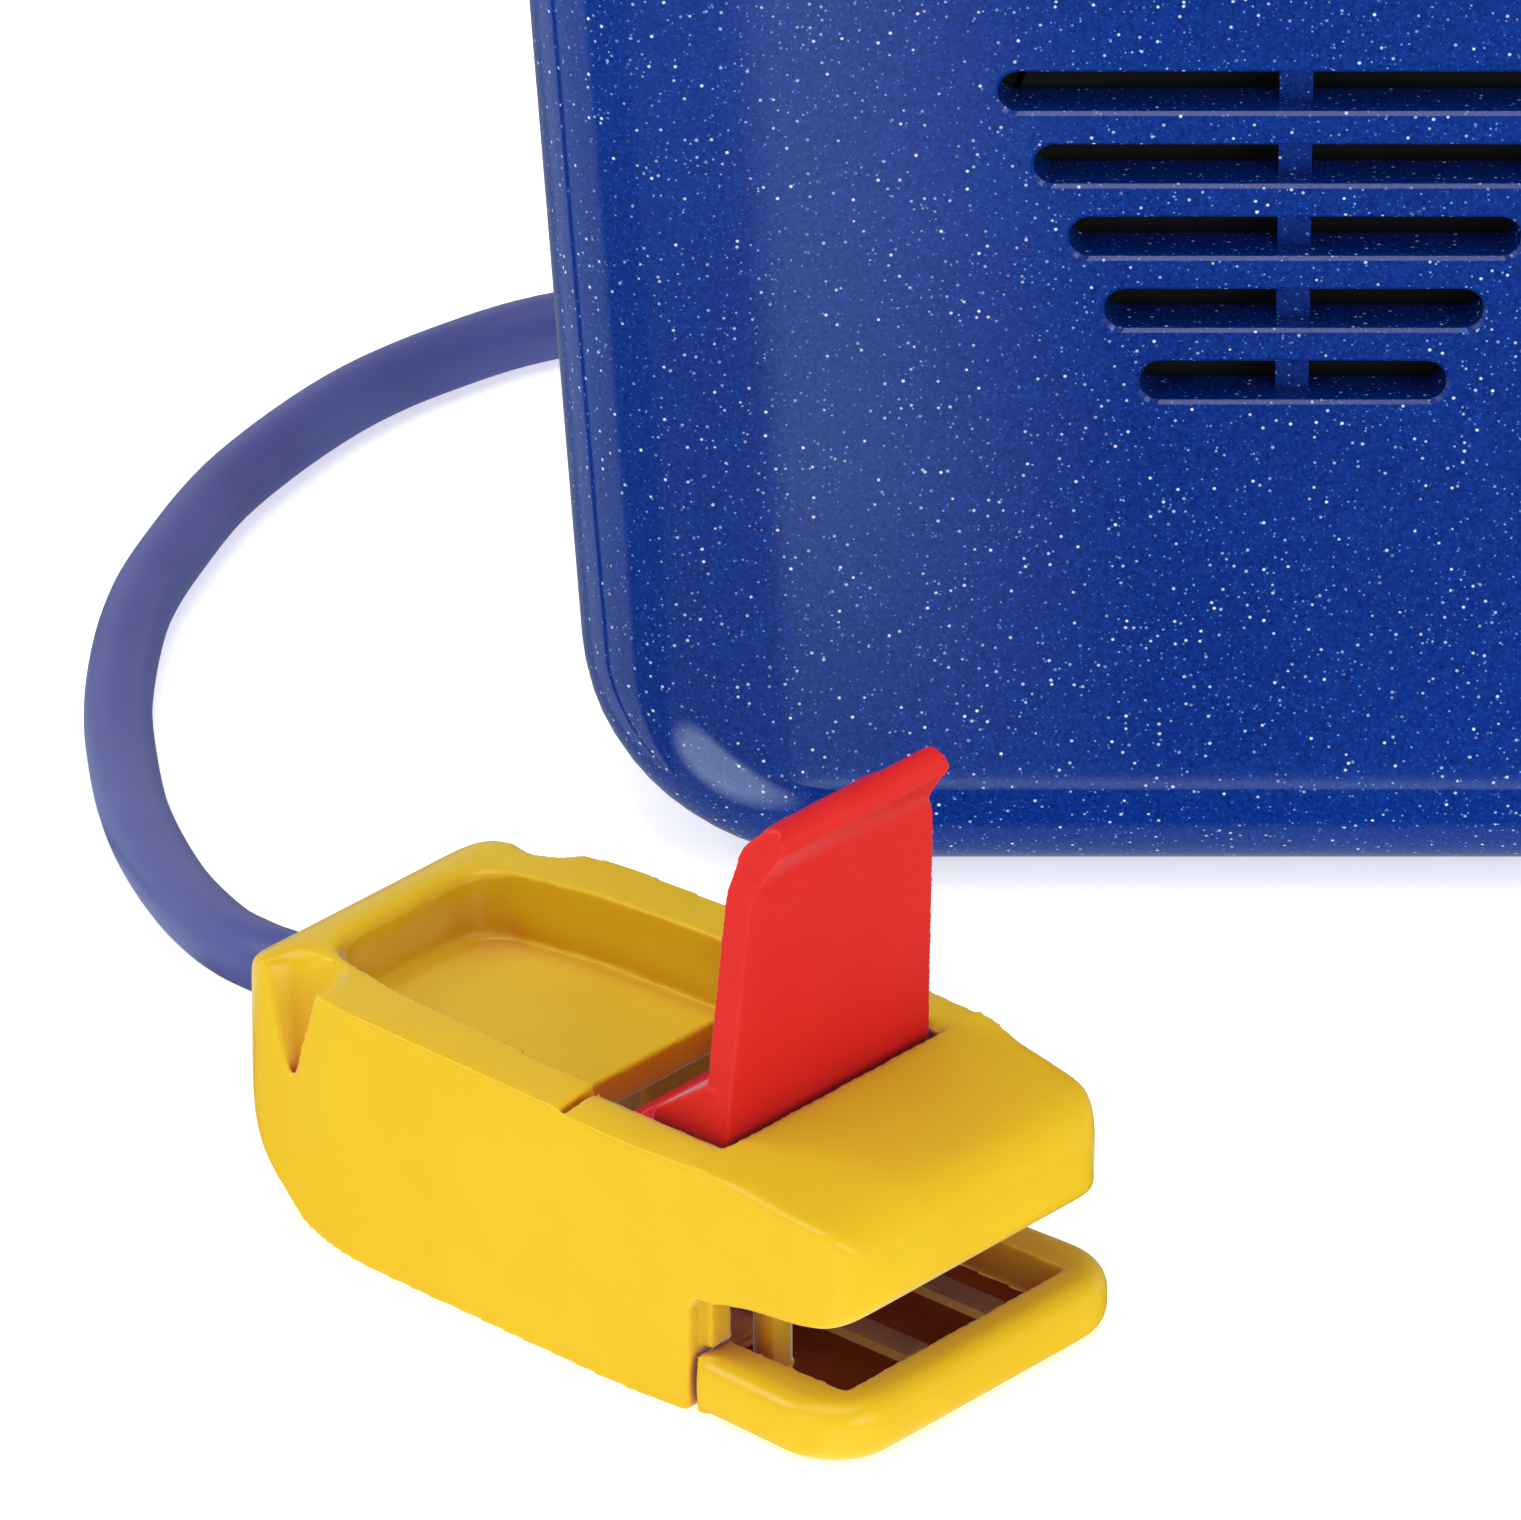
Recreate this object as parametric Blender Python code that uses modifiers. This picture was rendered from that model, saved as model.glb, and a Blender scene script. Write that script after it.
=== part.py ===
"""Wearable moisture alarm: sounder case, lead and clip-on sensor. Metres, +Z up.

The case stands on its base with its face towards -Y. The origin is the centre of the base.
"""
import math

import bmesh
import bpy
from mathutils import Matrix, Vector

# Fits
GAP = 0.0003                    # clearance between pieces that touch
SMALL_SIDES = 12                # sides of pins and their holes
ROUND_SIDES = 14                # sides of middling round pieces
LARGE_SIDES = 24                # sides of wide round pieces
CORNER_STEPS = 4                # segments of a rounded corner
CASE_STEPS = 5                  # segments of a case corner
ARC_STEPS = 12                  # segments of a half circle
END_ROUND = 0.45                # corner radius of a nearly round end, as a share of its width

# Dry cells and what they press on
CELL_DIAMETER = 0.0104
CELL_BODY = 0.0436
CELL_NUB = 0.0009
CELL_NUB_DIAMETER = 0.0038
CELL_SPRING_LENGTH = 0.0036
CELL_SPRING_TURNS = 3
CELL_SPRING_WIRE = 0.0005
CELL_SPRING_RADIUS = 0.0031
CELL_SPRING_TIP_RADIUS = 0.0022
CELL_PLATE = 0.0004
CELL_PLATE_SIZE = 0.0080
CELL_SPACE = 0.0004             # beside each cell

# Battery tray
TRAY_Z = 0.0320                 # underside of the tray above the base
TRAY_WALL = 0.0010

# Case walls
CASE_WALL = 0.0020
FACE_WALL = 0.0022
BACK_WALL = 0.0024
SIDE_ROOM = 0.0019              # between tray and side wall
SIDE_FLARE = math.radians(3.95)
CASE_DRAFT = 0.0005             # sides and top, drawn in at the front and the back
BASE_CORNER = 0.0100
TOP_CORNER = 0.0090
FACE_ROUND = 0.0050
BACK_ROUND = 0.0030
SEAM_DEPTH = 0.0126             # front face to the seam of the covers
TOP_MARGIN = 0.0017

# Speaker slots
SLOT_COUNT = 5
SLOT_PITCH = 0.00312
SLOT_HEIGHT = 0.0018
SLOT_SHORTEST = 0.0120
SLOT_STEP = 0.0028
SLOT_RIB = 0.0013
SLOT_RIB_DEPTH = 0.0010

# Sounder
SOUNDER_Z = 0.0292
SOUNDER_RADIUS = 0.0135
SOUNDER_DEPTH = 0.0045
SOUNDER_RIM = 0.0016
SOUNDER_RIM_WIDTH = 0.0012
SOUNDER_WALL = 0.0008
SOUNDER_BACK_RADIUS = 0.0085
SOUNDER_RING_WALL = 0.0011
SOUNDER_RING_DEPTH = 0.0030
CONE_THICK = 0.0004
CONE_DIP = 0.0009
CONE_CAP_RADIUS = 0.0040
CONE_CAP_RISE = 0.0004
MAGNET_RADIUS = 0.0060
MAGNET_THICK = 0.0012

# Circuit board
BOARD_AIR = 0.0007              # sounder to board
BOARD_THICK = 0.0016
BOARD_WIDTH = 0.0360
BOARD_BOTTOM = 0.0050
BOARD_TOP_AIR = 0.0016          # board to the top screw bosses
POST_RADIUS = 0.0018
POST_X = 0.0080
POST_Z = 0.0085
TOP_POST_IN = 0.0050            # from the board's edge
TOP_POST_DROP = 0.0045
TRAY_AIR = 0.0006               # board to tray
CHIP_SIZE = 0.0090
CHIP_THICK = 0.0015
CHIP_X = -0.0060
CHIP_Z = 0.0245

# Screws
SCREW_RADIUS = 0.0008
SCREW_HEAD_RADIUS = 0.0017
SCREW_HEAD = 0.0012
SCREW_EDGE = 0.0005
SCREW_SLOT = 0.0010              # half length of the cross slot
SCREW_SLOT_DEPTH = 0.0005
SCREW_SINK = 0.0016
SCREW_RIM = 0.0008              # wall left beside a head
BOSS_RADIUS = 0.0023
SCREW_TOP_X = 0.0170
SCREW_LOW_X = 0.0220
SCREW_LOW_Z = 0.0195
CASE_SCREW_LENGTH = 0.0140
BOARD_SCREW_LENGTH = 0.0040

# Battery door
DOOR_THICK = 0.0013
DOOR_LEDGE = 0.0012
DOOR_ROUND = 0.0015
DOOR_EDGE = 0.0004
DOOR_NOTCH_RADIUS = 0.0045      # nail notch at the top edge
DOOR_NOTCH_REACH = 0.0016
DOOR_AXIS_IN = 0.0008           # hinge axis below the outer face
DOOR_AXIS_UP = 0.0005           # hinge axis above the lower edge
DOOR_PIN_RADIUS = 0.0003
DOOR_PIN = 0.0008               # length of each hinge stub
DOOR_FOOT_ROOM = 0.0003         # extra room below the hinge
WINDOW_ROOM = 0.0016            # window longer than a cell

# Reset button, its switch and the lamp
BUTTON_LENGTH = 0.0090
BUTTON_WIDTH = 0.0034
BUTTON_PROUD = 0.0008
BUTTON_FLANGE = 0.0009          # wing at each end
BUTTON_FLANGE_THICK = 0.0008
BUTTON_TRAVEL = 0.0005
BUTTON_STEM_RADIUS = 0.0009
SWITCH_WIDTH = 0.0060
SWITCH_DEPTH = 0.0032
SWITCH_HEIGHT = 0.0045
SWITCH_RISE = 0.0025            # above the board's top edge
SWITCH_STEM_DEPTH = 0.0012
LAMP_X = 0.0115
LAMP_RADIUS = 0.0015
LAMP_FLANGE = 0.0004
LAMP_PROUD = 0.0007
LAMP_DOME = 0.0008
LAMP_LENGTH = 0.0052
LAMP_LEG = 0.0005
LAMP_LEG_REACH = 0.0020

# Mode switch on the back
MODE_IN = 0.0040                # from the board's edge
MODE_Z = 0.0250
MODE_BODY_LENGTH = 0.0090
MODE_BODY_HEIGHT = 0.0050
MODE_BODY_DEPTH = 0.0036
MODE_TRAVEL = 0.0015
MODE_STEM = 0.0018
MODE_STEM_DEPTH = 0.0010
MODE_CAP_LENGTH = 0.0034
MODE_CAP_HEIGHT = 0.0030
MODE_CAP = 0.0008

# Vibration motor
MOTOR_RADIUS = 0.0030
MOTOR_LENGTH = 0.0110
MOTOR_IN = 0.0190
MOTOR_Z = 0.0165
MOTOR_SHAFT_RADIUS = 0.0004
MOTOR_SHAFT = 0.0042
WEIGHT_RADIUS = 0.0027
WEIGHT_THICK = 0.0034

# Lead, plug and socket
LEAD_DIAMETER = 0.0028
SOCKET_IN = 0.0030              # from the board's edge
SOCKET_Z = 0.0095
SOCKET_SIZE = 0.0070
SOCKET_COLLAR_RADIUS = 0.0032
PLUG_PIN_RADIUS = 0.00165
PLUG_PIN = 0.0085
PLUG_RADIUS = 0.0037
PLUG_LENGTH = 0.0085
PLUG_ROUND = 0.0008
BOOT_LENGTH = 0.0080
BOOT_RADIUS = 0.0031
BOOT_TIP_RADIUS = 0.0019
BOOT_RIBS = 4
BOOT_GROOVE = 0.0005
BOOT_RIB_SHARE = 0.6            # of the rib pitch

# Coil of the lead
COIL_Y = 0.0580
COIL_INNER = 0.0115             # centre line of the inmost turn
COIL_PITCH = 0.00325            # centre to centre, sideways and upwards
COIL_TURNS_ACROSS = 2
COIL_LAYERS = 4
COIL_SHORT = 0.25               # of a turn, left off at the end
COIL_POINTS = 20                # per loop
TIE_WIDTH = 0.0060
TIE_BAND = 0.0005
TIE_ROUND = 0.0012
TAIL_SAG = 0.0010

# Garment clip on the back
GARMENT_WIDTH = 0.0120
GARMENT_SHEET = 0.0008
GARMENT_SCREW_Z = 0.0265
GARMENT_FOOT = 0.0042           # below the screw
GARMENT_TOP = 0.0305
GARMENT_TIP_Z = 0.0050
GARMENT_REACH = 0.0036          # sheet to sheet at the bend
GARMENT_NIP = 0.0010            # least gap to the case
GARMENT_NIP_Z = 0.0085
GARMENT_FLARE = 0.0022
GARMENT_DRIVER_HOLE = 0.0024
GARMENT_SCREW_LENGTH = 0.0050

# Sensor clip, in its own frame: X to the nose, Y to its left, Z up from the table
CLIP_X = -0.0367                # middle of the rear end
CLIP_Y = -0.0300
CLIP_YAW = math.radians(-41.6)
CLIP_LENGTH = 0.0325
CLIP_HEIGHT = 0.0100
CLIP_REAR_HALF = 0.0059
CLIP_SHOULDER_X = 0.0070
CLIP_SHOULDER_HALF = 0.0079
CLIP_HALF = 0.0083
CLIP_HALF_X = 0.0215
NOSE_HALF = 0.0074
CLIP_REAR_CORNER = 0.0015
CLIP_SHOULDER_ROUND = 0.0100
CLIP_SIDE_ROUND = 0.0300
NOSE_CORNER = 0.0018
CLIP_WALL = 0.0017
CLIP_TOP_ROUND = 0.0010
STERN_ROUND = 0.0040
STERN_RISE = 0.0010
STERN_X = 0.0095
STERN_FOOT_ROUND = 0.0120
CAVITY_X = 0.0098
MOUTH_LENGTH = 0.0082           # nose front to the side walls
NOSE_BOTTOM = 0.0060
NOSE_LENGTH = 0.0077
RECESS_X = 0.0030
RECESS_FLOOR = 0.0072
RECESS_REAR_HALF = 0.0044
RECESS_SHOULDER = 0.0060
RECESS_ROOF = 0.0011
PIT_LENGTH = 0.0099             # behind the nose
CHEEK_LENGTH = 0.0068           # behind the nose
CHEEK_DROP = 0.0005
CHEEK_WIDTH = 0.0013
NOTCH_X = 0.0026
NOTCH_RADIUS = 0.0017
NOTCH_OUT = 0.0010              # its axis outside the rear corner
NOTCH_BOTTOM = 0.0042
RECESS_CORNER = 0.0020
LEAD_BORE_Z = 0.0058
LEAD_BORE = 0.0026
LEAD_INSERT = 0.0022
CORE_HOLE_RADIUS = 0.0008
CORE_HOLE_Z = 0.0053

# Lower jaw and base of the sensor clip
JAW_OUT = 0.0006                # jaw in front of the nose
JAW_HALF = 0.0080
JAW_TOP = 0.00275
JAW_BAR = 0.0017
JAW_ARM = 0.0023
JAW_CORNER = 0.0032
JAW_FLOOR = 0.0008
JAW_EDGE = 0.0009
BASE_PLATE = 0.0012
POST_PIN_RADIUS = 0.0007
POST_PIN_IN = 0.0014            # in front of the side walls
POST_PIN_Y = 0.0042

# Contact strips
STRIP_Y = 0.0022
STRIP_WIDTH = 0.0012
STRIP_THICK = 0.0004
STRIP_REAR_X = 0.0105
STRIP_TAB = 0.0024
STRIP_RAMP = 0.0016
STRIP_TOP = 0.0025

# Cam lever and presser foot
PIVOT_IN = 0.0021               # behind the nose
PIVOT_Z = 0.0082
HUB_RADIUS = 0.0015
PIN_RADIUS = 0.0006
PIN_SEAT = 0.0008               # pin end inside each cheek
LEVER_FOLD = math.radians(95)
LEVER_LEAN = math.radians(3)
LEVER_LENGTH = 0.0135
LEVER_HALF = 0.0058
LEVER_ROOT_HALF = 0.0057        # plate where it leaves the hub
LEVER_TIP_HALF = 0.0050
LEVER_THICK = 0.0012
LEVER_FACE = 0.00145            # front of the plate from the pivot
LEVER_CORNER = 0.0022
LIP_REACH = 0.0026
LIP_TILT = math.radians(45)
LIP_THICK = 0.0010
LIP_HALF = 0.0048
LIP_SINK = 0.0007               # its root below the end of the plate
LIP_ROUND = 0.0003
FOOT_TRAVEL = 0.0018
FOOT_THICK = 0.0010
FOOT_REAR_ROOM = 0.0005         # foot to the rear of the pit
FOOT_REACH = 0.0051             # under the nose
FOOT_HALF = 0.0056
SPRING_IN = 0.0020              # from the foot's rear end
SPRING_Y = 0.0042
SPRING_RADIUS = 0.0008
SPRING_WIRE = 0.0003
SPRING_TURNS = 4
CURL_POINTS = 8

# Sizes that follow from the ones above
TRAY_INNER_LENGTH = CELL_BODY + CELL_NUB + CELL_SPRING_LENGTH + CELL_PLATE + 4 * GAP
TRAY_INNER_HEIGHT = 2 * CELL_DIAMETER + 3 * CELL_SPACE
TRAY_LENGTH = TRAY_INNER_LENGTH + 2 * TRAY_WALL
TRAY_TOP = TRAY_Z + TRAY_INNER_HEIGHT + 2 * TRAY_WALL
TRAY_MID = (TRAY_Z + TRAY_TOP) / 2
FLARE = math.tan(SIDE_FLARE)
BASE_HALF = TRAY_LENGTH / 2 + SIDE_ROOM + CASE_WALL - TRAY_Z * FLARE
WINDOW_LENGTH = CELL_BODY + CELL_NUB + WINDOW_ROOM
WINDOW_HEIGHT = TRAY_INNER_HEIGHT
DOOR_LENGTH = WINDOW_LENGTH + 2 * DOOR_LEDGE
DOOR_HEIGHT = WINDOW_HEIGHT + 2 * DOOR_LEDGE
DOOR_BOTTOM = TRAY_MID - DOOR_HEIGHT / 2
DOOR_AXIS_Z = DOOR_BOTTOM + DOOR_AXIS_UP
SCREW_TOP_Z = TRAY_MID + DOOR_HEIGHT / 2 + 2 * GAP + SCREW_RIM + SCREW_HEAD_RADIUS
CASE_HEIGHT = SCREW_TOP_Z + SCREW_HEAD_RADIUS + GAP + BACK_ROUND + TOP_MARGIN
CASE_DEPTH = (FACE_WALL + GAP + SOUNDER_DEPTH + BOARD_AIR + BOARD_THICK + TRAY_AIR + TRAY_WALL
              + GAP + CELL_DIAMETER + GAP + DOOR_THICK)
FRONT_Y = -CASE_DEPTH / 2
BACK_Y = CASE_DEPTH / 2
SEAM_Y = FRONT_Y + SEAM_DEPTH
FACE_IN_Y = FRONT_Y + FACE_WALL
BACK_IN_Y = BACK_Y - BACK_WALL
DOOR_AXIS_Y = BACK_Y - DOOR_AXIS_IN
SCREW_SEAT_Y = BACK_Y - SCREW_SINK + GAP
SOUNDER_Y = FACE_IN_Y + GAP
BOARD_Y = SOUNDER_Y + SOUNDER_DEPTH + BOARD_AIR
BOARD_BACK_Y = BOARD_Y + BOARD_THICK
BOARD_TOP = SCREW_TOP_Z - BOSS_RADIUS - BOARD_TOP_AIR
TRAY_Y = BOARD_BACK_Y + TRAY_AIR
CELL_Y = TRAY_Y + TRAY_WALL + GAP + CELL_DIAMETER / 2
CASE_TOP_IN = CASE_HEIGHT - CASE_WALL
SWITCH_Y = BOARD_Y - GAP - SWITCH_DEPTH / 2
SWITCH_TOP = BOARD_TOP + SWITCH_RISE
PLUG_Y = BACK_Y + GAP
BOOT_Y = PLUG_Y + PLUG_LENGTH + GAP
LEAD_END_Y = BOOT_Y + BOOT_LENGTH + GAP
LEAD_RADIUS = LEAD_DIAMETER / 2
TOP_POST_X = BOARD_WIDTH / 2 - TOP_POST_IN
MODE_X = BOARD_WIDTH / 2 - MODE_IN
SOCKET_X = SOCKET_IN - BOARD_WIDTH / 2
MOTOR_X = BOARD_WIDTH / 2 - MOTOR_IN
COIL_OUTER = COIL_INNER + COIL_TURNS_ACROSS * COIL_PITCH
COIL_X = SOCKET_X + COIL_OUTER - COIL_SHORT * COIL_PITCH
COIL_LOW = LEAD_RADIUS + TIE_BAND + GAP
COIL_TURNS = COIL_TURNS_ACROSS * COIL_LAYERS - COIL_SHORT
HUB_BORE = PIN_RADIUS + GAP
LEVER_GAP_HALF = LEVER_HALF + GAP
FOOT_TOP = PIVOT_Z - HUB_RADIUS - GAP
FOOT_BOTTOM = FOOT_TOP - FOOT_THICK
CAM_RISE = FOOT_TRAVEL / LEVER_FOLD
WALL_FRONT_X = CLIP_LENGTH - MOUTH_LENGTH
NOSE_REAR_X = CLIP_LENGTH - NOSE_LENGTH
PIT_X = NOSE_REAR_X - PIT_LENGTH
CHEEK_X = NOSE_REAR_X - CHEEK_LENGTH
JAW_LENGTH = CLIP_LENGTH + JAW_OUT
POST_PIN_X = WALL_FRONT_X + POST_PIN_IN
PIVOT_X = NOSE_REAR_X - PIVOT_IN
FOOT_REAR_X = PIT_X + FOOT_REAR_ROOM
FOOT_FRONT_X = NOSE_REAR_X + FOOT_REACH
SPRING_X = FOOT_REAR_X + SPRING_IN

CASE_SCREWS = ((-SCREW_TOP_X, SCREW_TOP_Z), (SCREW_TOP_X, SCREW_TOP_Z),
               (-SCREW_LOW_X, SCREW_LOW_Z), (SCREW_LOW_X, SCREW_LOW_Z))

# Route of the lead on the table, chosen by eye, from the sensor clip to the coil
LEAD_ROUTE = ((-0.0402, -0.0267, 0.0056), (-0.0418, -0.0238, 0.0050), (-0.0437, -0.0179, 0.0038),
              (-0.0454, -0.0103, 0.0026), (-0.0463, -0.0034, 0.0018), (-0.0467, 0.0031, 0.0015),
              (-0.0462, 0.0107, 0.0014), (-0.0447, 0.0168, 0.0014), (-0.0424, 0.0230, 0.0014),
              (-0.0382, 0.0300, 0.0014), (-0.0338, 0.0345, 0.0014), (-0.0290, 0.0376, 0.0014),
              (-0.0210, 0.0398, 0.0015), (-0.0110, 0.0402, 0.0018))

FACING = Matrix.Rotation(math.pi / 2, 4, 'X')      # outline drawn in XZ, thickness along -Y
ALONG_X = Matrix.Rotation(math.pi / 2, 4, 'Y')
ALONG_Y = Matrix.Rotation(-math.pi / 2, 4, 'X')

# Colour, roughness and metallic value of each material
FINISHES = {
    "blue_glitter_abs": ((0.02, 0.07, 0.42), 0.18, 0.0),
    "yellow_abs": ((0.85, 0.55, 0.02), 0.25, 0.0),
    "red_abs": ((0.72, 0.03, 0.02), 0.25, 0.0),
    "lead_pvc": ((0.09, 0.10, 0.33), 0.45, 0.0),
    "black_abs": ((0.02, 0.02, 0.022), 0.5, 0.0),
    "board": ((0.02, 0.18, 0.07), 0.45, 0.0),
    "steel": ((0.60, 0.60, 0.62), 0.3, 1.0),
    "brass": ((0.80, 0.55, 0.20), 0.3, 1.0),
    "paper_cone": ((0.05, 0.05, 0.055), 0.8, 0.0),
    "cell_wrap": ((0.10, 0.10, 0.11), 0.35, 0.0),
    "lamp_lens": ((0.70, 0.05, 0.04), 0.1, 0.0),
    "white_abs": ((0.75, 0.75, 0.73), 0.35, 0.0),
}


def clear_scene():
    for item in list(bpy.data.objects):
        bpy.data.objects.remove(item, do_unlink=True)


def new_collection(name):
    collection = bpy.data.collections.new(name)
    bpy.context.scene.collection.children.link(collection)
    return collection


def finish(name):
    material = bpy.data.materials.get(name)
    if material is None:
        colour, roughness, metallic = FINISHES[name]
        material = bpy.data.materials.new(name)
        material.use_nodes = True
        shader = material.node_tree.nodes["Principled BSDF"]
        shader.inputs["Base Color"].default_value = (*colour, 1.0)
        shader.inputs["Roughness"].default_value = roughness
        shader.inputs["Metallic"].default_value = metallic
    return material


def add_object(name, mesh, material=None, parent=None, location=(0, 0, 0)):
    """A piece when it has a material, and a cutter when it has none."""
    item = bpy.data.objects.new(name, mesh)
    if material is None:
        CUTTERS.objects.link(item)
        item.hide_render = True
        item.display_type = 'WIRE'
    else:
        PIECES.objects.link(item)
        mesh.materials.append(finish(material))
    item.parent = parent
    item.location = location
    return item


def to_mesh(name, bm):
    mesh = bpy.data.meshes.new(name)
    bmesh.ops.recalc_face_normals(bm, faces=bm.faces)
    bm.to_mesh(mesh)
    bm.free()
    mesh.shade_smooth()
    mesh.set_sharp_from_angle(angle=math.radians(30))
    return mesh


def box(name, low, high, material=None, parent=None):
    bm = bmesh.new()
    bmesh.ops.create_cube(bm, size=1)
    low = Vector(low)
    high = Vector(high)
    size = Matrix.Diagonal((*(high - low), 1))
    bm.transform(Matrix.Translation((low + high) / 2) @ size)
    return add_object(name, to_mesh(name, bm), material, parent)


def rod(name, start, end, radius, end_radius=None, material=None, parent=None, sides=ROUND_SIDES):
    """A cylinder or cone from one point to another."""
    start = Vector(start)
    run = Vector(end) - start
    bm = bmesh.new()
    bmesh.ops.create_cone(bm, cap_ends=True, segments=sides, radius1=radius,
                          radius2=radius if end_radius is None else end_radius, depth=run.length)
    turn = Vector((0, 0, 1)).rotation_difference(run).to_matrix().to_4x4()
    bm.transform(Matrix.Translation(start + run / 2) @ turn)
    return add_object(name, to_mesh(name, bm), material, parent)


def slab(name, outline, low, high, turn=Matrix(), far_outline=None, low_round=0, high_round=0,
         segments=3, material=None, parent=None, location=(0, 0, 0)):
    """A flat outline pulled up from low to high, with its rims rounded."""
    bm = bmesh.new()
    ring = [bm.verts.new((x, y, low)) for x, y in outline]
    bm.faces.new(ring)
    pulled = bmesh.ops.extrude_face_region(bm, geom=list(bm.faces))
    tops = [v for v in pulled["geom"] if isinstance(v, bmesh.types.BMVert)]
    far = {(v.co.x, v.co.y): point for v, point in zip(ring, far_outline or outline)}
    for vert in tops:
        vert.co.x, vert.co.y = far[(vert.co.x, vert.co.y)]
        vert.co.z = high
    for height, radius in ((low, low_round), (high, high_round)):
        if radius > 0:
            rim = [e for e in bm.edges if all(abs(v.co.z - height) < 1e-7 for v in e.verts)]
            bmesh.ops.bevel(bm, geom=rim, offset=radius, offset_type='OFFSET', segments=segments,
                            profile=0.5, affect='EDGES', clamp_overlap=True)
    bm.transform(turn)
    return add_object(name, to_mesh(name, bm), material, parent, location)


def turned(name, profile, turn=Matrix(), material=None, parent=None, location=(0, 0, 0),
           sides=ROUND_SIDES):
    """A profile of radius and height, top to bottom, spun round Z and then turned."""
    mesh = bpy.data.meshes.new(name)
    points = [(radius, 0, height) for radius, height in profile]
    mesh.from_pydata(points, [(i, i + 1) for i in range(len(points) - 1)], [])
    spun = add_object(name + "_profile", mesh)
    screw = spun.modifiers.new("spin", 'SCREW')
    screw.steps = sides
    screw.render_steps = sides
    screw.use_merge_vertices = True
    screw.merge_threshold = 1e-6
    solid = settled(spun)
    bpy.data.objects.remove(spun, do_unlink=True)
    bm = bmesh.new()
    bm.from_mesh(solid)
    bmesh.ops.remove_doubles(bm, verts=bm.verts, dist=1e-6)
    bm.transform(turn)
    return add_object(name, to_mesh(name, bm), material, parent, location)


def settled(item):
    """The mesh of an object with its modifiers applied."""
    bpy.context.view_layer.update()
    graph = bpy.context.evaluated_depsgraph_get()
    return bpy.data.meshes.new_from_object(item.evaluated_get(graph))


def wire(name, points, radius, resolution, material, parent=None):
    """A round wire through the given points."""
    curve = bpy.data.curves.new(name, 'CURVE')
    curve.dimensions = '3D'
    curve.bevel_depth = radius
    curve.bevel_resolution = resolution
    curve.use_fill_caps = True
    curve.twist_mode = 'MINIMUM'
    spline = curve.splines.new('POLY')
    spline.points.add(len(points) - 1)
    for target, point in zip(spline.points, points):
        target.co = (*point, 1)
    item = bpy.data.objects.new(name, curve)
    PIECES.objects.link(item)
    curve.materials.append(finish(material))
    item.parent = parent
    return item


def boolean(target, other, operation):
    change = target.modifiers.new(other.name, 'BOOLEAN')
    change.operation = operation
    change.solver = 'EXACT'
    change.object = other


def cut(target, *cutters):
    for cutter in cutters:
        boolean(target, cutter, 'DIFFERENCE')


def join(target, *others):
    for other in others:
        boolean(target, other, 'UNION')


def rounded(corners, steps=CORNER_STEPS):
    """Outline points of a polygon whose corners (x, y, radius) are rounded."""
    outline = []
    for index, (x, y, radius) in enumerate(corners):
        here = Vector((x, y))
        back = (Vector(corners[index - 1][:2]) - here).normalized()
        ahead = (Vector(corners[(index + 1) % len(corners)][:2]) - here).normalized()
        if radius <= 0:
            outline.append((x, y))
            continue
        half = back.angle(ahead) / 2
        centre = here + (back + ahead).normalized() * radius / math.sin(half)
        first = here + back * radius / math.tan(half) - centre
        last = here + ahead * radius / math.tan(half) - centre
        sweep = first.angle_signed(last)
        for step in range(steps + 1):
            turn = Matrix.Rotation(-sweep * step / steps, 2)
            outline.append(tuple(centre + turn @ first))
    return outline


def oblong(length, height, radius, middle=(0, 0), steps=CORNER_STEPS):
    x, y = middle
    half = length / 2
    tall = height / 2
    corners = ((x - half, y - tall, radius), (x + half, y - tall, radius),
               (x + half, y + tall, radius), (x - half, y + tall, radius))
    return rounded(corners, steps)


def smooth_line(points, steps):
    """Points on a smooth curve through the given ones."""
    points = [Vector(p) for p in points]
    line = []
    for index in range(len(points) - 1):
        before = points[max(index - 1, 0)]
        start = points[index]
        end = points[index + 1]
        after = points[min(index + 2, len(points) - 1)]
        for step in range(steps):
            t = step / steps
            line.append(0.5 * (2 * start + (end - before) * t
                               + (2 * before - 5 * start + 4 * end - after) * t ** 2
                               + (3 * start - before - 3 * end + after) * t ** 3))
    line.append(points[-1])
    return line


def least_gap(points, diameter, skip):
    """Least clear distance of a wound wire to itself."""
    least = math.inf
    for index, point in enumerate(points):
        for other in points[index + skip:]:
            least = min(least, (point - other).length)
    return least - diameter


def case_outline(inset, draft=0):
    """Front view of the case, drawn in by an inset, and at its sides and top by a draft too."""
    across = (inset + draft) / math.cos(SIDE_FLARE)
    top = CASE_HEIGHT - inset - draft
    low_half = BASE_HALF + inset * FLARE - across
    top_half = BASE_HALF + top * FLARE - across
    corners = ((-low_half, inset, BASE_CORNER - inset), (low_half, inset, BASE_CORNER - inset),
               (top_half, top, TOP_CORNER - inset), (-top_half, top, TOP_CORNER - inset))
    return rounded(corners, CASE_STEPS)


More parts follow.
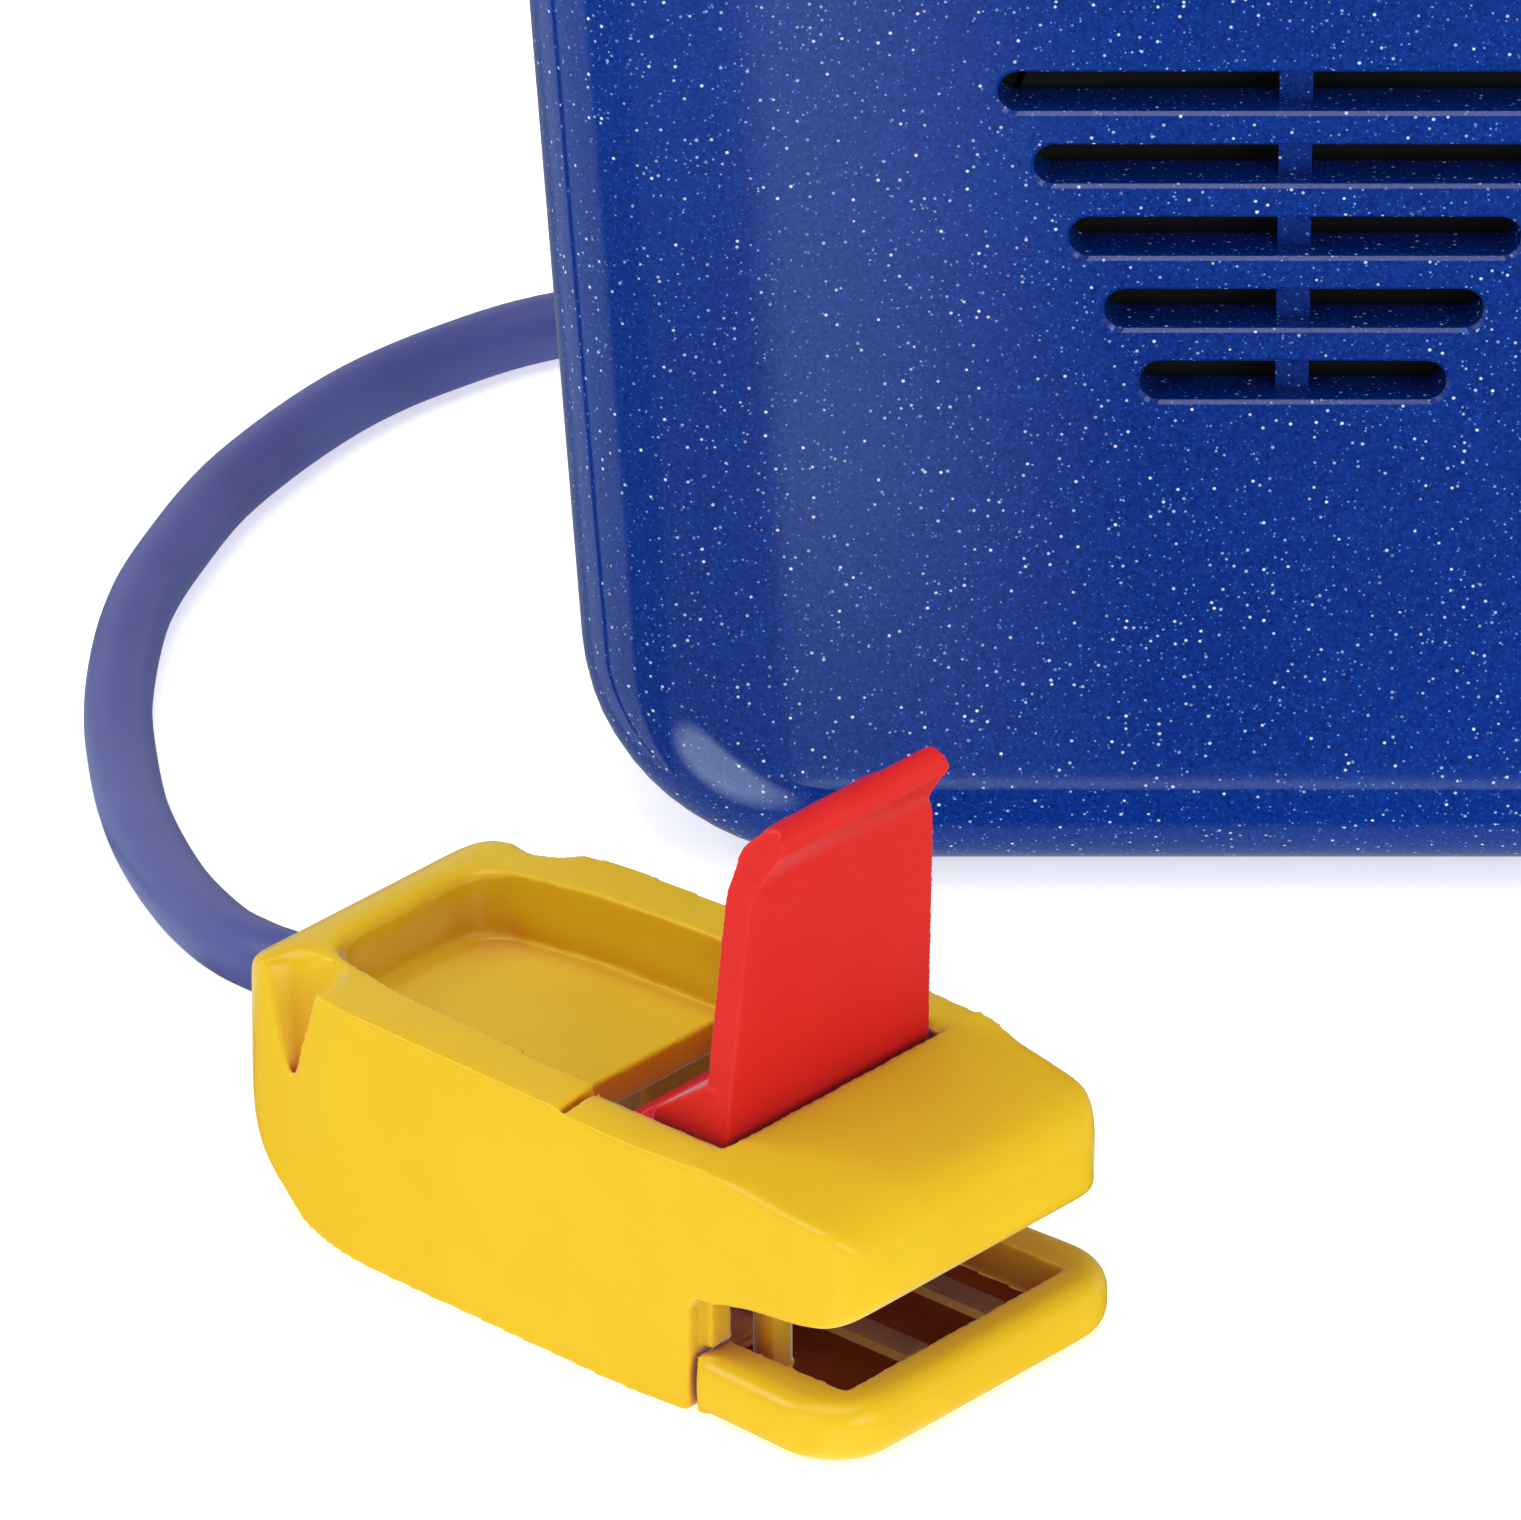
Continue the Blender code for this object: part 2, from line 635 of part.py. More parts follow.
def cover(name, face_y, wall, edge_y, edge_round, material):
    """A drafted tray from its face to its open edge, with the hollow cut out."""
    drawn = case_outline(0, CASE_DRAFT)
    full = case_outline(0)
    inner_drawn = case_outline(CASE_WALL, CASE_DRAFT)
    inner_full = case_outline(CASE_WALL)
    toward = 1 if edge_y > face_y else -1
    inner_y = face_y + toward * wall
    open_y = edge_y + toward * wall
    inner_round = max(edge_round - CASE_WALL, GAP)
    if toward > 0:
        shell = slab(name, full, -edge_y, -face_y, FACING, drawn, 0, edge_round, 4, material)
        hollow = slab(name + "_hollow", inner_full, -open_y, -inner_y, FACING, inner_drawn,
                      0, inner_round)
    else:
        shell = slab(name, drawn, -face_y, -edge_y, FACING, full, edge_round, 0, 3, material)
        hollow = slab(name + "_hollow", inner_drawn, -inner_y, -open_y, FACING, inner_full,
                      inner_round, 0)
    cut(shell, hollow)
    return shell


def screw(name, x, y, z, length, parent=None):
    """A pan-head screw driven from the back, its head's underside at y."""
    profile = ((0, SCREW_HEAD), (SCREW_HEAD_RADIUS - SCREW_EDGE, SCREW_HEAD),
               (SCREW_HEAD_RADIUS, SCREW_HEAD - SCREW_EDGE), (SCREW_HEAD_RADIUS, 0),
               (SCREW_RADIUS, 0), (SCREW_RADIUS, -length + SCREW_RADIUS), (0, -length))
    item = turned(name, profile, ALONG_Y, "steel", parent, (x, y, z), SMALL_SIDES)
    for arm, (half_x, half_z) in enumerate(((SCREW_SLOT, GAP), (GAP, SCREW_SLOT))):
        cut(item, box(f"{name}_slot_{arm}", (x - half_x, y + SCREW_HEAD - SCREW_SLOT_DEPTH, z - half_z),
                      (x + half_x, y + 2 * SCREW_HEAD, z + half_z)))
    return item


def make_front_cover():
    front = cover("case_front", FRONT_Y, FACE_WALL, SEAM_Y - GAP / 2, FACE_ROUND, "blue_glitter_abs")
    root_y = FACE_IN_Y - FACE_WALL / 2
    ring_y = FACE_IN_Y + SOUNDER_RING_DEPTH
    ring = rod("sounder_ring", (0, root_y, SOUNDER_Z), (0, ring_y, SOUNDER_Z),
               SOUNDER_RADIUS + GAP + SOUNDER_RING_WALL, sides=LARGE_SIDES)
    join(front, ring)
    cut(front, rod("sounder_seat", (0, FACE_IN_Y, SOUNDER_Z), (0, ring_y + GAP, SOUNDER_Z),
                   SOUNDER_RADIUS + GAP, sides=LARGE_SIDES))
    for index in range(SLOT_COUNT):
        row = index - (SLOT_COUNT - 1) / 2
        middle = (0, SOUNDER_Z + row * SLOT_PITCH)
        outline = oblong(SLOT_SHORTEST + index * SLOT_STEP, SLOT_HEIGHT, SLOT_HEIGHT * END_ROUND, middle)
        cut(front, slab(f"slot_{index}", outline, -FACE_IN_Y - GAP, -FRONT_Y + GAP, FACING))
    rib_half = SLOT_RIB / 2
    rib_reach = SLOT_COUNT * SLOT_PITCH / 2
    join(front, box("slot_rib", (-rib_half, FACE_IN_Y - SLOT_RIB_DEPTH, SOUNDER_Z - rib_reach),
                    (rib_half, FACE_IN_Y, SOUNDER_Z + rib_reach)))
    for index, (x, z) in enumerate(CASE_SCREWS):
        join(front, rod(f"front_boss_{index}", (x, root_y, z), (x, SEAM_Y - GAP / 2, z), BOSS_RADIUS))
        cut(front, rod(f"front_boss_hole_{index}", (x, SCREW_SEAT_Y - CASE_SCREW_LENGTH - GAP, z),
                       (x, SEAM_Y + GAP, z), SCREW_RADIUS + GAP))
    for side in (-1, 1):
        for level, (x, z) in enumerate(((POST_X, POST_Z), (TOP_POST_X, BOARD_TOP - TOP_POST_DROP))):
            join(front, rod(f"board_post_{level}_{side}", (side * x, root_y, z),
                            (side * x, BOARD_Y - GAP, z), POST_RADIUS))
        cut(front, rod(f"board_post_hole_{side}", (side * POST_X, BOARD_BACK_Y - BOARD_SCREW_LENGTH, POST_Z),
                       (side * POST_X, BOARD_Y, POST_Z), SCREW_RADIUS + GAP))
    hole = oblong(BUTTON_LENGTH + 2 * GAP, BUTTON_WIDTH + 2 * GAP, BUTTON_WIDTH * END_ROUND, (0, SWITCH_Y))
    low = CASE_TOP_IN - CASE_WALL / 2
    cut(front, slab("button_hole", hole, low, CASE_HEIGHT + GAP))
    cut(front, rod("lamp_hole", (LAMP_X, SWITCH_Y, low), (LAMP_X, SWITCH_Y, CASE_HEIGHT + GAP),
                   LAMP_RADIUS + GAP))


def make_back_cover():
    back = cover("case_back", BACK_Y, BACK_WALL, SEAM_Y + GAP / 2, BACK_ROUND, "blue_glitter_abs")
    root_y = BACK_Y - BACK_WALL / 2
    out_y = BACK_Y + GAP
    for index, (x, z) in enumerate(CASE_SCREWS):
        join(back, rod(f"back_boss_{index}", (x, SEAM_Y + GAP / 2, z), (x, root_y, z), BOSS_RADIUS))
        cut(back, rod(f"back_boss_hole_{index}", (x, SEAM_Y - GAP, z), (x, out_y, z), SCREW_RADIUS + GAP),
            rod(f"back_sink_{index}", (x, BACK_Y - SCREW_SINK, z), (x, out_y, z), SCREW_HEAD_RADIUS + GAP))
    recess_low = DOOR_BOTTOM - GAP - DOOR_FOOT_ROOM
    recess_high = DOOR_BOTTOM + DOOR_HEIGHT + GAP
    recess = oblong(DOOR_LENGTH + 2 * GAP, recess_high - recess_low, DOOR_ROUND,
                    (0, (recess_low + recess_high) / 2))
    cut(back, slab("door_recess", recess, -out_y, -BACK_Y + DOOR_THICK + GAP, FACING))
    window = oblong(WINDOW_LENGTH, WINDOW_HEIGHT, DOOR_ROUND, (0, TRAY_MID))
    cut(back, slab("door_window", window, -out_y, -BACK_IN_Y + GAP, FACING))
    reach = DOOR_LENGTH / 2 + DOOR_PIN + GAP
    cut(back, rod("door_pin_seat", (-reach, DOOR_AXIS_Y, DOOR_AXIS_Z), (reach, DOOR_AXIS_Y, DOOR_AXIS_Z),
                  DOOR_PIN_RADIUS + GAP, sides=SMALL_SIDES))
    cap_room = oblong(MODE_CAP_LENGTH + 2 * MODE_TRAVEL + 2 * GAP, MODE_CAP_HEIGHT + 2 * GAP,
                      MODE_CAP_HEIGHT / 4, (MODE_X, MODE_Z))
    cut(back, slab("mode_recess", cap_room, -out_y, -BACK_Y + MODE_CAP + GAP, FACING))
    stem_half = MODE_STEM / 2 + GAP
    stem_reach = stem_half + MODE_TRAVEL
    cut(back, box("mode_slot", (MODE_X - stem_reach, BACK_IN_Y - GAP, MODE_Z - stem_half),
                  (MODE_X + stem_reach, out_y, MODE_Z + stem_half)))
    cut(back, rod("socket_hole", (SOCKET_X, BACK_IN_Y - GAP, SOCKET_Z), (SOCKET_X, out_y, SOCKET_Z),
                  SOCKET_COLLAR_RADIUS + GAP, sides=LARGE_SIDES))
    tip = garment_seat() - GARMENT_SCREW_LENGTH - GAP
    join(back, rod("garment_boss", (0, tip, GARMENT_SCREW_Z), (0, root_y, GARMENT_SCREW_Z), BOSS_RADIUS))
    cut(back, rod("garment_hole", (0, tip - GAP, GARMENT_SCREW_Z), (0, out_y, GARMENT_SCREW_Z),
                  SCREW_RADIUS + GAP))
    for index, (x, z) in enumerate(CASE_SCREWS):
        screw(f"case_screw_{index + 1}", x, SCREW_SEAT_Y, z, CASE_SCREW_LENGTH)


def make_battery_door():
    outline = oblong(DOOR_LENGTH, DOOR_HEIGHT, DOOR_ROUND - GAP, (0, TRAY_MID - DOOR_AXIS_Z))
    door = slab("battery_door", outline, -DOOR_AXIS_IN, DOOR_THICK - DOOR_AXIS_IN, FACING,
                low_round=DOOR_EDGE, material="blue_glitter_abs", segments=2,
                location=(0, DOOR_AXIS_Y, DOOR_AXIS_Z))
    for side in (-1, 1):
        start = side * (DOOR_LENGTH / 2 - DOOR_PIN)
        end = side * (DOOR_LENGTH / 2 + DOOR_PIN)
        join(door, rod(f"door_stub_{side}", (start, DOOR_AXIS_Y, DOOR_AXIS_Z),
                       (end, DOOR_AXIS_Y, DOOR_AXIS_Z), DOOR_PIN_RADIUS, sides=SMALL_SIDES))
    top = DOOR_BOTTOM + DOOR_HEIGHT
    notch_z = top - DOOR_NOTCH_REACH + DOOR_NOTCH_RADIUS
    cut(door, rod("door_notch", (0, BACK_Y - DOOR_THICK / 2, notch_z), (0, BACK_Y + GAP, notch_z),
                  DOOR_NOTCH_RADIUS, sides=LARGE_SIDES))


def make_battery_bay():
    half = TRAY_INNER_LENGTH / 2
    tray = box("battery_tray", (-TRAY_LENGTH / 2, TRAY_Y, TRAY_Z),
               (TRAY_LENGTH / 2, BACK_IN_Y - GAP, TRAY_TOP), "black_abs")
    cut(tray, box("tray_hollow", (-half, TRAY_Y + TRAY_WALL, TRAY_Z + TRAY_WALL),
                  (half, BACK_IN_Y + GAP, TRAY_TOP - TRAY_WALL)))
    radius = CELL_DIAMETER / 2
    nub = CELL_NUB_DIAMETER / 2
    edge = CELL_SPACE
    profile = ((0, CELL_BODY + CELL_NUB), (nub, CELL_BODY + CELL_NUB), (nub, CELL_BODY),
               (radius - edge, CELL_BODY), (radius, CELL_BODY - edge), (radius, edge),
               (radius - edge, 0), (0, 0))
    for name, way, row in (("a", 1, -0.5), ("b", -1, 0.5)):
        z = TRAY_MID + row * (CELL_DIAMETER + CELL_SPACE)
        foot = -way * (half - 2 * GAP - CELL_SPRING_LENGTH)
        turn = ALONG_X if way > 0 else Matrix.Rotation(math.pi, 4, 'Z') @ ALONG_X
        turned(f"battery_{name}", profile, turn, "cell_wrap", location=(foot, CELL_Y, z), sides=LARGE_SIDES)
        low = way * (half - GAP - CELL_PLATE)
        high = way * (half - GAP)
        plate = CELL_PLATE_SIZE / 2
        box(f"cell_plate_{name}", (min(low, high), CELL_Y - plate, z - plate),
            (max(low, high), CELL_Y + plate, z + plate), "steel")
        points = []
        for step in range(CELL_SPRING_TURNS * CURL_POINTS + 1):
            share = step / (CELL_SPRING_TURNS * CURL_POINTS)
            angle = 2 * math.pi * CELL_SPRING_TURNS * share
            wide = CELL_SPRING_RADIUS + (CELL_SPRING_TIP_RADIUS - CELL_SPRING_RADIUS) * share
            along = GAP + CELL_SPRING_WIRE / 2 + (CELL_SPRING_LENGTH - CELL_SPRING_WIRE) * share
            points.append(Vector((-way * (half - along), CELL_Y + wide * math.cos(angle),
                                  z + wide * math.sin(angle))))
        wire(f"cell_spring_{name}", points, CELL_SPRING_WIRE / 2, 1, "steel")
    print("cell spring least gap mm", 1000 * least_gap(points, CELL_SPRING_WIRE, CURL_POINTS // 2))


def make_board():
    half = BOARD_WIDTH / 2
    board = box("circuit_board", (-half, BOARD_Y, BOARD_BOTTOM), (half, BOARD_BACK_Y, BOARD_TOP), "board")
    for index, side in enumerate((-1, 1)):
        cut(board, rod(f"board_hole_{index}", (side * POST_X, BOARD_Y - GAP, POST_Z),
                       (side * POST_X, BOARD_BACK_Y + GAP, POST_Z), SCREW_RADIUS + GAP))
        screw(f"board_screw_{index + 1}", side * POST_X, BOARD_BACK_Y + GAP, POST_Z, BOARD_SCREW_LENGTH)
    chip = oblong(CHIP_SIZE, CHIP_SIZE, GAP, (CHIP_X, CHIP_Z))
    chip_y = BOARD_BACK_Y + GAP
    slab("alarm_chip", chip, -chip_y - CHIP_THICK, -chip_y, FACING, low_round=GAP, segments=1,
         material="black_abs")


def make_sounder():
    rim = SOUNDER_RADIUS - SOUNDER_RIM_WIDTH
    back = SOUNDER_DEPTH - MAGNET_THICK - GAP
    place = (0, SOUNDER_Y, SOUNDER_Z)
    frame = ((0, back), (SOUNDER_BACK_RADIUS, back), (rim - GAP, SOUNDER_RIM), (SOUNDER_RADIUS, SOUNDER_RIM),
             (SOUNDER_RADIUS, 0), (rim, 0), (rim, SOUNDER_RIM - SOUNDER_WALL),
             (SOUNDER_BACK_RADIUS, back - SOUNDER_WALL), (0, back - SOUNDER_WALL))
    turned("sounder_frame", frame, ALONG_Y, "steel", location=place, sides=LARGE_SIDES)
    edge = rim - GAP
    front = CONE_THICK / 2
    dip = front + CONE_DIP
    cone = ((0, dip + CONE_THICK - CONE_CAP_RISE), (CONE_CAP_RADIUS, dip + CONE_THICK),
            (edge, front + CONE_THICK), (edge, front), (CONE_CAP_RADIUS, dip), (0, dip - CONE_CAP_RISE))
    turned("sounder_cone", cone, ALONG_Y, "paper_cone", location=place, sides=LARGE_SIDES)
    magnet_y = SOUNDER_Y + back + GAP
    rod("sounder_magnet", (0, magnet_y, SOUNDER_Z), (0, magnet_y + MAGNET_THICK, SOUNDER_Z), MAGNET_RADIUS,
        material="steel", sides=LARGE_SIDES)


def make_controls():
    seat = CASE_TOP_IN - 2 * GAP
    button = slab("reset_button", oblong(BUTTON_LENGTH, BUTTON_WIDTH, BUTTON_WIDTH * END_ROUND),
                  -BUTTON_FLANGE_THICK, CASE_HEIGHT + BUTTON_PROUD - seat, high_round=GAP, segments=2,
                  material="white_abs", location=(0, SWITCH_Y, seat))
    wing = BUTTON_LENGTH / 2 + BUTTON_FLANGE
    depth = BUTTON_WIDTH / 2 - GAP
    flange_low = seat - BUTTON_FLANGE_THICK
    join(button, box("button_wings", (-wing, SWITCH_Y - depth, flange_low), (wing, SWITCH_Y + depth, seat)))
    join(button, rod("button_stem", (0, SWITCH_Y, SWITCH_TOP - SWITCH_STEM_DEPTH),
                     (0, SWITCH_Y, seat - BUTTON_FLANGE_THICK / 2), BUTTON_STEM_RADIUS, sides=SMALL_SIDES))
    half = SWITCH_WIDTH / 2
    switch = box("reset_switch", (-half, SWITCH_Y - SWITCH_DEPTH / 2, SWITCH_TOP - SWITCH_HEIGHT),
                 (half, SWITCH_Y + SWITCH_DEPTH / 2, SWITCH_TOP), "black_abs")
    bottom = SWITCH_TOP - SWITCH_STEM_DEPTH - BUTTON_TRAVEL - GAP
    cut(switch, rod("switch_bore", (0, SWITCH_Y, bottom), (0, SWITCH_Y, SWITCH_TOP + GAP),
                    BUTTON_STEM_RADIUS + GAP, sides=SMALL_SIDES))
    top = CASE_HEIGHT + LAMP_PROUD
    low = top - LAMP_LENGTH
    profile = ((0, top), (LAMP_RADIUS / 2, top - LAMP_DOME / 4), (LAMP_RADIUS, top - LAMP_DOME),
               (LAMP_RADIUS, low + LAMP_RADIUS), (LAMP_RADIUS + LAMP_FLANGE, low + LAMP_RADIUS),
               (LAMP_RADIUS + LAMP_FLANGE, low), (0, low))
    lamp = turned("signal_lamp", profile, material="lamp_lens", location=(LAMP_X, SWITCH_Y, 0))
    leg_y = BOARD_Y - GAP
    for side in (-1, 1):
        x = LAMP_X + side * LAMP_RADIUS / 2
        join(lamp, box(f"lamp_leg_{side}", (x - LAMP_LEG / 2, leg_y - LAMP_LEG, BOARD_TOP - LAMP_LEG_REACH),
                       (x + LAMP_LEG / 2, leg_y, low + LAMP_RADIUS / 2)))


def make_mode_switch():
    back_y = BACK_IN_Y - GAP
    half = MODE_BODY_LENGTH / 2
    tall = MODE_BODY_HEIGHT / 2
    body = box("mode_switch", (MODE_X - half, back_y - MODE_BODY_DEPTH, MODE_Z - tall),
               (MODE_X + half, back_y, MODE_Z + tall), "steel")
    stem = MODE_STEM / 2
    reach = stem + MODE_TRAVEL + GAP
    cut(body, box("mode_body_slot", (MODE_X - reach, back_y - MODE_STEM_DEPTH - GAP, MODE_Z - stem - GAP),
                  (MODE_X + reach, back_y + GAP, MODE_Z + stem + GAP)))
    slider = slab("mode_slider", oblong(MODE_CAP_LENGTH, MODE_CAP_HEIGHT, MODE_CAP_HEIGHT / 4), 0, MODE_CAP,
                  FACING, low_round=GAP, segments=1, material="black_abs", location=(MODE_X, BACK_Y, MODE_Z))
    join(slider, box("mode_stem", (MODE_X - stem, back_y - MODE_STEM_DEPTH, MODE_Z - stem),
                     (MODE_X + stem, BACK_Y - MODE_CAP / 2, MODE_Z + stem)))


def make_motor():
    y = BOARD_BACK_Y + GAP + MOTOR_RADIUS
    end = MOTOR_X + MOTOR_LENGTH
    motor = rod("vibration_motor", (MOTOR_X, y, MOTOR_Z), (end, y, MOTOR_Z), MOTOR_RADIUS, material="steel")
    join(motor, rod("motor_shaft", (end - GAP, y, MOTOR_Z), (end + MOTOR_SHAFT, y, MOTOR_Z),
                    MOTOR_SHAFT_RADIUS, sides=SMALL_SIDES))
    hub = MOTOR_SHAFT_RADIUS + 3 * GAP
    outline = []
    for radius, first in ((WEIGHT_RADIUS, -math.pi / 2), (hub, math.pi / 2)):
        for step in range(ARC_STEPS + 1):
            angle = first + math.pi * step / ARC_STEPS
            outline.append((radius * math.cos(angle), radius * math.sin(angle)))
    weight = slab("motor_weight", outline, GAP, GAP + WEIGHT_THICK, Matrix.Rotation(math.pi / 2, 4, 'Y'),
                  material="brass", location=(end, y, MOTOR_Z))
    cut(weight, rod("weight_bore", (end, y, MOTOR_Z), (end + WEIGHT_THICK + 2 * GAP, y, MOTOR_Z),
                    MOTOR_SHAFT_RADIUS + GAP, sides=SMALL_SIDES))


def make_socket_and_plug():
    half = SOCKET_SIZE / 2
    socket = box("lead_socket", (SOCKET_X - half, BOARD_BACK_Y + GAP, SOCKET_Z - half),
                 (SOCKET_X + half, BACK_IN_Y - GAP, SOCKET_Z + half), "black_abs")
    join(socket, rod("socket_collar", (SOCKET_X, BACK_IN_Y - half, SOCKET_Z), (SOCKET_X, BACK_Y, SOCKET_Z),
                     SOCKET_COLLAR_RADIUS, sides=LARGE_SIDES))
    cut(socket, rod("socket_bore", (SOCKET_X, PLUG_Y - PLUG_PIN - GAP, SOCKET_Z),
                    (SOCKET_X, BACK_Y + GAP, SOCKET_Z), PLUG_PIN_RADIUS + GAP, sides=ROUND_SIDES))
    plug = ((0, PLUG_LENGTH), (PLUG_RADIUS - PLUG_ROUND, PLUG_LENGTH),
            (PLUG_RADIUS, PLUG_LENGTH - PLUG_ROUND), (PLUG_RADIUS, PLUG_ROUND),
            (PLUG_RADIUS - PLUG_ROUND, 0), (PLUG_PIN_RADIUS, 0),
            (PLUG_PIN_RADIUS, -PLUG_PIN + PLUG_PIN_RADIUS), (0, -PLUG_PIN))
    turned("lead_plug", plug, ALONG_Y, "lead_pvc", location=(SOCKET_X, PLUG_Y, SOCKET_Z), sides=LARGE_SIDES)
    boot = [(0, BOOT_LENGTH)]
    pitch = BOOT_LENGTH / BOOT_RIBS
    for rib in range(BOOT_RIBS):
        share = rib / (BOOT_RIBS - 1)
        radius = BOOT_TIP_RADIUS + (BOOT_RADIUS - BOOT_TIP_RADIUS) * share
        top = BOOT_LENGTH - rib * pitch
        boot.append((radius, top))
        boot.append((radius, top - pitch * BOOT_RIB_SHARE))
        if rib < BOOT_RIBS - 1:
            boot.append((radius - BOOT_GROOVE, top - pitch * BOOT_RIB_SHARE))
            boot.append((radius - BOOT_GROOVE, top - pitch))
    boot.append((BOOT_RADIUS, 0))
    boot.append((0, 0))
    turned("plug_boot", boot, ALONG_Y, "lead_pvc", location=(SOCKET_X, BOOT_Y, SOCKET_Z))


def coil_point(turn):
    """Centre line of the coil after so many turns: in and out by layers, climbing where it reverses."""
    across = turn % (2 * COIL_TURNS_ACROSS)
    drawn = min(across, 2 * COIL_TURNS_ACROSS - across)
    radius = COIL_OUTER - COIL_PITCH * drawn
    level = 0
    for layer in range(1, COIL_LAYERS):
        climb = (turn - layer * COIL_TURNS_ACROSS) * 2 + 0.5
        climb = min(max(climb, 0), 1)
        level += climb * climb * (3 - 2 * climb)
    angle = 2 * math.pi * turn - math.pi / 2
    return Vector((COIL_X + radius * math.cos(angle), COIL_Y + radius * math.sin(angle),
                   COIL_LOW + COIL_PITCH * level))


def route_length(points):
    return sum((b - a).length for a, b in zip(points, points[1:]))


def make_lead(clip):
    straight = LEAD_DIAMETER
    start = coil_point(0)
    end = coil_point(COIL_TURNS)
    coil = [start - Vector((straight, 0, 0))]
    steps = round(COIL_TURNS * COIL_POINTS)
    coil += [coil_point(COIL_TURNS * step / steps) for step in range(steps + 1)]
    coil.append(end - Vector((0, straight, 0)))
    wire("lead_coil", coil, LEAD_RADIUS, 1, "lead_pvc")
    print("lead coil least gap mm", 1000 * least_gap(coil, LEAD_DIAMETER, COIL_POINTS // 2))

    bpy.context.view_layer.update()
    bore = [clip.matrix_world @ Vector((x, 0, LEAD_BORE_Z))
            for x in (LEAD_INSERT, 0, -LEAD_DIAMETER)]
    coil_end = coil[0] - Vector((GAP, 0, 0))
    route = bore + [Vector(p) for p in LEAD_ROUTE] + [coil_end - Vector((straight, 0, 0)), coil_end]
    run = smooth_line(route, 2)
    wire("lead_run", run, LEAD_RADIUS, 2, "lead_pvc")

    top = coil[-1] - Vector((0, GAP, 0))
    plug = Vector((SOCKET_X, LEAD_END_Y, SOCKET_Z))
    middle = (top + plug) / 2 - Vector((0, 0, TAIL_SAG))
    tail = smooth_line([top, top - Vector((0, straight, 0)), middle,
                        plug + Vector((0, straight, 0)), plug], 3)
    wire("lead_tail", tail, LEAD_RADIUS, 2, "lead_pvc")
    print("lead length mm", 1000 * (route_length(run) + route_length(coil) + route_length(tail)))
    make_coil_tie()


def make_coil_tie():
    """A flat band round all the turns on the far side of the coil."""
    inmost = COIL_OUTER - (COIL_TURNS_ACROSS - 0.5) * COIL_PITCH - LEAD_RADIUS
    outmost = COIL_OUTER - 0.5 * COIL_PITCH + LEAD_RADIUS
    near = COIL_Y + math.sqrt(inmost ** 2 - (TIE_WIDTH / 2) ** 2) - GAP
    far = COIL_Y + outmost + GAP
    high = COIL_LOW + (COIL_LAYERS - 1) * COIL_PITCH + LEAD_RADIUS + GAP
    turn = Matrix.Translation((COIL_X, 0, 0)) @ Matrix.Rotation(math.pi / 2, 4, 'Z') @ FACING
    middle = ((near + far) / 2, (TIE_BAND + high) / 2)
    outer = oblong(far - near + 2 * TIE_BAND, high + TIE_BAND, TIE_ROUND + TIE_BAND,
                   ((near + far) / 2, (high + TIE_BAND) / 2))
    inner = oblong(far - near, high - TIE_BAND, TIE_ROUND, middle)
    tie = slab("coil_tie", outer, -TIE_WIDTH / 2, TIE_WIDTH / 2, turn, material="black_abs")
    cut(tie, slab("tie_hollow", inner, -TIE_WIDTH, TIE_WIDTH, turn))


def garment_seat():
    """Underside of the garment clip's screw head."""
    return BACK_Y + GAP + GARMENT_SHEET + GAP


def make_garment_clip():
    sheet = GARMENT_SHEET / 2
    inner_y = BACK_Y + GAP + sheet
    bend = GARMENT_REACH / 2
    line = [(inner_y, GARMENT_SCREW_Z - GARMENT_FOOT)]
    for step in range(ARC_STEPS + 1):
        angle = math.pi * (1 - step / ARC_STEPS)
        line.append((inner_y + bend + bend * math.cos(angle),
                     GARMENT_TOP - bend - sheet + bend * math.sin(angle)))
    line.append((BACK_Y + GARMENT_NIP + sheet, GARMENT_NIP_Z))
    line.append((BACK_Y + GARMENT_NIP + sheet + GARMENT_FLARE, GARMENT_TIP_Z))
    half = GARMENT_WIDTH / 2
    bm = bmesh.new()
    row = [bm.verts.new((-half, y, z)) for y, z in line]
    edges = [bm.edges.new(pair) for pair in zip(row, row[1:])]
    pulled = bmesh.ops.extrude_edge_only(bm, edges=edges)
    for item in pulled["geom"]:
        if isinstance(item, bmesh.types.BMVert):
            item.co.x = half
    clip = add_object("garment_clip", to_mesh("garment_clip", bm), "steel")
    solid = clip.modifiers.new("sheet", 'SOLIDIFY')
    solid.thickness = GARMENT_SHEET
    solid.offset = 0
    solid.use_even_offset = True
    middle_y = inner_y + bend
    cut(clip, rod("garment_screw_hole", (0, BACK_Y, GARMENT_SCREW_Z), (0, middle_y, GARMENT_SCREW_Z),
                  SCREW_RADIUS + GAP),
        rod("garment_driver_hole", (0, middle_y, GARMENT_SCREW_Z),
            (0, middle_y + GARMENT_REACH, GARMENT_SCREW_Z), GARMENT_DRIVER_HOLE))
    screw("garment_screw", 0, garment_seat(), GARMENT_SCREW_Z, GARMENT_SCREW_LENGTH)


def both_sides(corners):
    """A clip outline from its right-hand corners, mirrored to the left."""
    left = [(x, -y, radius) for x, y, radius in reversed(corners)]
    return rounded(list(corners) + left)


